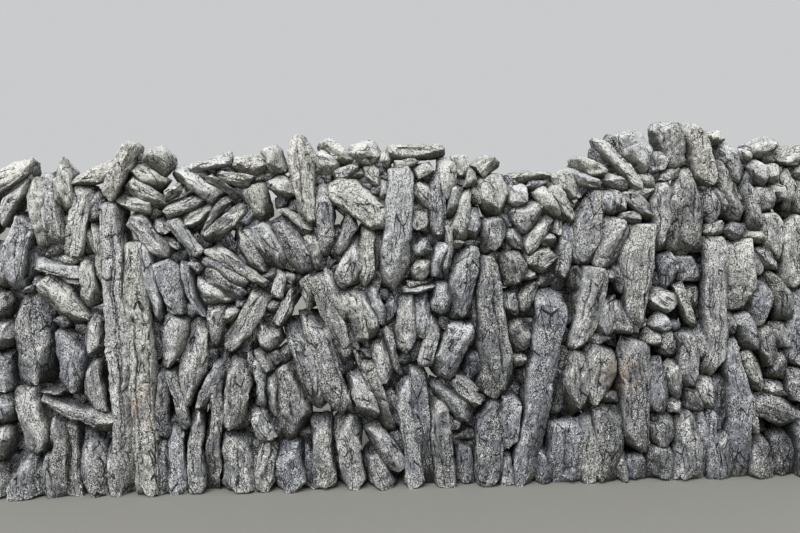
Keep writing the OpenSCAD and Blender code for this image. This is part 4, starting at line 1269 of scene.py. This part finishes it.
@dataclass
class Hearting(StoneWork):
    """The small stones packed into the gaps, well behind the faces."""

    nodes: Names = in_bays("hearting", range(1, 5))
    worn: Weathering = Weathering(
        grid=11.0, rings=(0.0, 0.1, 0.25, 0.5, 0.75, 0.9, 1.0), spread=10.0, face_spread=1.0,
        swell=2.2, bed_step=3.0, groove=2.0, chips=(1, 3), chip=(2.0, 6.0), cracks=(0, 0),
    )
    tone: Span = (0.2, 0.5)


@dataclass(frozen=True)
class Pin:
    """A small stone by the ends of its middle line on the face of the wall, in centimetres."""

    foot: Span
    head: Span
    width: float
    # Where its point starts, and how blunt it is at its foot and uneven at its neck
    neck: float = 0.75
    foot_width: float = 0.8
    neck_width: float = 0.9

    def outline(self) -> Array:
        """Finds the stone's outline.

        Returns:
            Its corners as x and z in metres, anticlockwise, blunt at its foot and pointed at its head.
        """
        foot, head = np.array(self.foot), np.array(self.head)
        along = (head - foot) / np.linalg.norm(head - foot)
        half = np.array([-along[1], along[0]]) * self.width / 2
        neck = foot + self.neck * (head - foot)
        lower = [foot - self.foot_width * half, neck - half]
        return CM * np.array([*lower, head, neck + self.neck_width * half, foot + half])


@dataclass
class PinningStones(StoneWork):
    """The small stones driven into the last gaps, in front and between the courses at the back."""

    nodes: Names = ("pinning_stones_front", "pinning_stones_back")
    worn: Weathering = Weathering(grid=9.0, spread=5.0, swell=2.5, chips=(1, 3), cracks=(0, 1))
    tone: Span = (0.2, 0.7)
    in_frame: bool = False
    front_pins: tuple[Pin, ...] = (
        Pin((-30.0, 124.0), (-21.0, 128.0), 5.0),
        Pin((-6.0, 129.5), (3.0, 130.8), 3.0),
        Pin((13.0, 97.0), (20.0, 99.0), 3.5),
        Pin((43.0, 84.0), (50.0, 86.0), 4.0),
        Pin((71.0, 59.0), (82.0, 58.0), 4.5),
        Pin((85.0, 34.0), (76.0, 35.0), 4.5),
        Pin((89.0, 116.0), (98.0, 120.0), 6.0),
        Pin((101.0, 123.0), (107.0, 128.0), 4.5),
        Pin((105.0, 63.0), (111.0, 65.0), 4.0),
    )
    front_depth: Span = (-0.10, 0.05)
    # The pins at the back: their lengths as shares of the pitch, their depths in metres, and all
    # else in centimetres
    back_levels: tuple[float, ...] = (29.0, 58.0, 87.0, 115.0)
    back_top: float = 146.0
    back_span: Span = (66.0, 172.0)
    back_pitch: float = 7.6
    back_run: Span = (0.6, 1.1)
    back_rise: Span = (-3.0, 3.0)
    back_width: Span = (4.0, 7.0)
    back_gap: Span = (0.0, 2.0)
    back_start: float = 0.01
    back_behind: Span = (0.01, 0.04)

    def blocks(self, name: str, frame: dict) -> list[Block]:
        """Makes the stones of the front or the back as blocks.

        Args:
            name: the name of the front's or the back's stones.
            frame: the loaded frame; not used.

        Returns:
            One block for each stone.
        """
        if name == self.nodes[0]:
            return [Block.from_outline(pin.outline(), *self.front_depth) for pin in self.front_pins]
        rng = np.random.default_rng([SEED, len(self.nodes)])
        made = []
        for level in self.back_levels:
            face = wall_face(level, self.back_top)
            x = self.back_span[0] + rng.uniform(0, self.back_pitch)
            while x < self.back_span[1]:
                run = rng.uniform(*self.back_run) * self.back_pitch
                rise = rng.uniform(*self.back_rise, 2) + level
                pin = Pin((x, rise[0]), (x + run, rise[1]), rng.uniform(*self.back_width))
                back = face - rng.uniform(*self.back_behind)
                made.append(Block.from_outline(pin.outline(), self.back_start, back))
                x += run + rng.uniform(*self.back_gap)
        return made


# The larger gaps of the photo that show daylight, in metres; no packing goes there
DAYLIGHT = tuple(
    Spot(*gap)
    for gap in (
        (-1.56, 1.03, 0.06), (-1.49, 1.12, 0.05), (-1.54, 0.54, 0.07), (-1.45, 0.87, 0.04),
        (-1.385, 0.6, 0.06), (-1.085, 1.05, 0.05), (-1.17, 1.22, 0.05), (-0.98, 0.74, 0.05),
        (-0.95, 0.34, 0.05), (-0.94, 0.54, 0.04), (-0.94, 1.23, 0.05), (-0.93, 1.0, 0.04),
        (-0.885, 0.8, 0.05), (-0.82, 0.31, 0.05), (-0.71, 0.75, 0.04), (-0.535, 1.12, 0.07),
        (-0.52, 0.58, 0.05), (-0.44, 0.73, 0.08), (-0.42, 0.38, 0.05), (-0.35, 0.3, 0.07),
        (-0.29, 1.08, 0.06), (-0.26, 0.38, 0.05), (-0.235, 1.04, 0.04), (-0.19, 0.17, 0.06),
        (0.06, 0.43, 0.04), (0.08, 1.305, 0.06), (0.21, 0.48, 0.04), (0.28, 1.08, 0.05),
        (0.47, 1.17, 0.04),
    )
)


@dataclass
class PackingStones(StoneWork):
    """The small stones in the heart of the wall, wherever nothing else closes it."""

    nodes: Names = ("packing_stones",)
    worn: Weathering = Weathering(
        grid=16.0, rings=(0.0, 0.15, 0.5, 0.85, 1.0), spread=4.0, swell=2.2, flats=(1, 2),
        bed_step=3.0, chips=(0, 2), chip=(3.0, 8.0), cracks=(0, 0), cross_cracks=(0, 0),
    )
    tone: Span = (0.1, 0.5)
    in_frame: bool = False
    # The grid of places for them, how deep in the wall they are looked at, and up to what height
    pitch: float = 0.02
    looked: tuple[float, ...] = (-0.08, 0.08)
    top: float = 1.4
    # How many steps away there has to be stone on each side, and how far in it a place may lie
    reach: int = 6
    inside: float = -0.002
    apart: float = 0.045
    kept_clear: float = 0.03
    # The sizes of the stones, and how they lie in the depth of the wall
    half_length: Span = (0.028, 0.042)
    width_cm: Span = (5.0, 7.0)
    half_depth: float = 0.055
    shifted: Span = (-0.015, 0.015)
    lowest: float = 0.004

    def clearance(self, frame: dict, x: Array, z: Array) -> Array:
        """Finds how far each place of a grid is from the nearest stone of the frame.

        Args:
            frame: the loaded frame.
            x: the places along the wall, in metres.
            z: the heights, in metres.

        Returns:
            The distance for each x and z, below zero inside a stone.
        """
        least = np.full(len(x) * len(z), np.inf)
        for y in self.looked:
            points = np.array([(a, y, b) for a, b in product(x, z)])
            for name in sorted(frame["nodes"]):
                for block in loose_blocks(frame["nodes"][name].data):
                    away = ((points - block.centre) @ block.normals.T - block.reaches).max(1)
                    least = np.minimum(least, away)
        return least.reshape(len(x), len(z))

    def blocks(self, name: str, frame: dict) -> list[Block]:
        """Lays a stone in every place that is open and has stones on all its sides.

        Args:
            name: the name of the stones; not used.
            frame: the loaded frame.

        Returns:
            One block for each stone, the widest gaps first.
        """
        x = np.arange(-END_FACE + 2 * self.pitch, END_FACE - self.pitch, self.pitch)
        z = np.arange(2 * self.pitch, self.top, self.pitch)
        away = self.clearance(frame, x, z)
        shut = np.pad(away < 0, self.reach)
        shut[:, : self.reach] = True
        enclosed = np.ones_like(away, bool)
        for axis, way in product((0, 1), (-1, 1)):
            near = np.zeros_like(shut)
            for step in range(1, self.reach + 1):
                near |= np.roll(shut, way * step, axis)
            enclosed &= near[self.reach : -self.reach, self.reach : -self.reach]
        rng = np.random.default_rng([SEED, len(x)])
        laid: list[Array] = []
        made = []
        for place in np.argsort(-away, axis=None, kind="stable"):
            i, k = np.unravel_index(place, away.shape)
            at = np.array([x[i], z[k]])
            if away[i, k] < self.inside or not enclosed[i, k]:
                continue
            if any(math.dist(at, (s.x, s.z)) < s.radius + self.kept_clear for s in DAYLIGHT):
                continue
            if any(math.dist(at, other) < self.apart for other in laid):
                continue
            laid.append(at)
            turn = rng.uniform(0, math.tau)
            half = CM_IN_M * rng.uniform(*self.half_length) * np.array([math.cos(turn), math.sin(turn)])
            foot, head = tuple(CM_IN_M * at - half), tuple(CM_IN_M * at + half)
            pin = Pin(foot, head, rng.uniform(*self.width_cm))
            middle = rng.uniform(*self.shifted)
            outline = np.maximum(pin.outline(), [-np.inf, self.lowest])
            made.append(Block.from_outline(outline, middle - self.half_depth, middle + self.half_depth))
        return made


@dataclass
class Studio:
    """The plain pale floor, the soft lights and the camera where the viewer stood."""

    camera_at: Size = (-0.3548, -4.0, 1.38)
    camera_deg: Size = (82.9, 0.0, -4.5)
    lens_mm: float = 45.0
    sensor_mm: float = 36.0
    floor_hex: str = "#8e8d87"
    floor_size: float = 40.0
    floor_roughness: float = 0.8
    sky_hex: str = "#e9ebec"
    sky: float = 0.72
    # The sun behind thin cloud, as it is turned from straight down
    sun_deg: Size = (46.0, 0.0, -28.0)
    sun: float = 2.9
    cloud_deg: float = 45.0

    def place(self, name: str, data: ID, turn: Size) -> Object:
        """Puts a camera or a light into the scene.

        Args:
            name: the object's name.
            data: the camera or light.
            turn: how it is turned from looking straight down, in degrees.

        Returns:
            The new object.
        """
        thing = bpy.data.objects.new(name, data)
        thing.rotation_euler = Euler([math.radians(t) for t in turn])
        bpy.context.scene.collection.objects.link(thing)
        return thing

    def floor(self) -> None:
        """Lays the floor."""
        bpy.ops.mesh.primitive_plane_add(size=self.floor_size)
        floor = bpy.context.object
        floor.name = "studio_floor"
        paint = bpy.data.materials.new("studio_paint")
        paint.use_nodes = True
        shader = paint.node_tree.nodes["Principled BSDF"]
        shader.inputs["Base Color"].default_value = hex_to_linear(self.floor_hex)
        shader.inputs["Roughness"].default_value = self.floor_roughness
        floor.data.materials.append(paint)
        floor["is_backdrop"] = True

    def lights(self) -> None:
        """Gives the world an even pale sky and a soft sun."""
        world = bpy.data.worlds.new("studio_sky")
        world.use_nodes = True
        back = world.node_tree.nodes["Background"]
        back.inputs["Color"].default_value = hex_to_linear(self.sky_hex)
        back.inputs["Strength"].default_value = self.sky
        bpy.context.scene.world = world
        sun = bpy.data.lights.new("cloudy_sun", "SUN")
        sun.energy = self.sun
        sun.angle = math.radians(self.cloud_deg)
        self.place("cloudy_sun", sun, self.sun_deg)

    def build(self) -> None:
        """Sets up the whole studio."""
        scene = bpy.context.scene
        scene.view_settings.view_transform = "Standard"
        data = bpy.data.cameras.new("viewer")
        data.lens, data.sensor_width = self.lens_mm, self.sensor_mm
        scene.camera = self.place("viewer", data, self.camera_deg)
        scene.camera.location = self.camera_at
        self.floor()
        self.lights()


def main() -> None:
    """Loads the frame, dresses every stone and sets up the studio."""
    logging.basicConfig(level=logging.INFO, format="%(message)s")
    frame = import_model()
    cad_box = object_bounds()
    height = cad_box[1].z
    Studio().build()
    slots = {part["node"]: part["material_slot"] for part in frame["record"]["subparts"]}
    finishes = (
        Limestone("cope_limestone", 0.03, body="#858481", pale="#a6a5a2"),
        Limestone(LOOSE_SLOT),
        # A darker copy of the limestone: damp stone at the foot, and painted shade on the hearting deep in
        # the wall
        Limestone("dark_limestone", -0.02, body="#7a7c81"),
    )
    materials = {finish.slot: finish.material() for finish in finishes}
    works = (
        SplitUpright(),
        FootCourse(),
        StandingStones(),
        LeaningStones(),
        WedgeStones(),
        CopeCourse(),
        GreatCopeStones(),
        Backing(),
        Hearting(),
        PinningStones(),
        PackingStones(),
    )
    total = 0
    for work in works:
        for name in work.nodes:
            piece = work.build(name, frame, height)
            slot = slots.get(name, LOOSE_SLOT)
            work.dress(piece, name, slot, materials[slot])
            count = sum(len(p.vertices) - 2 for p in piece.data.polygons)
            total += count
            LOG.info("%s: %d triangles", piece.name, count)
    LOG.info("all the stones: %d triangles", total)


if __name__ == "__main__":
    main()
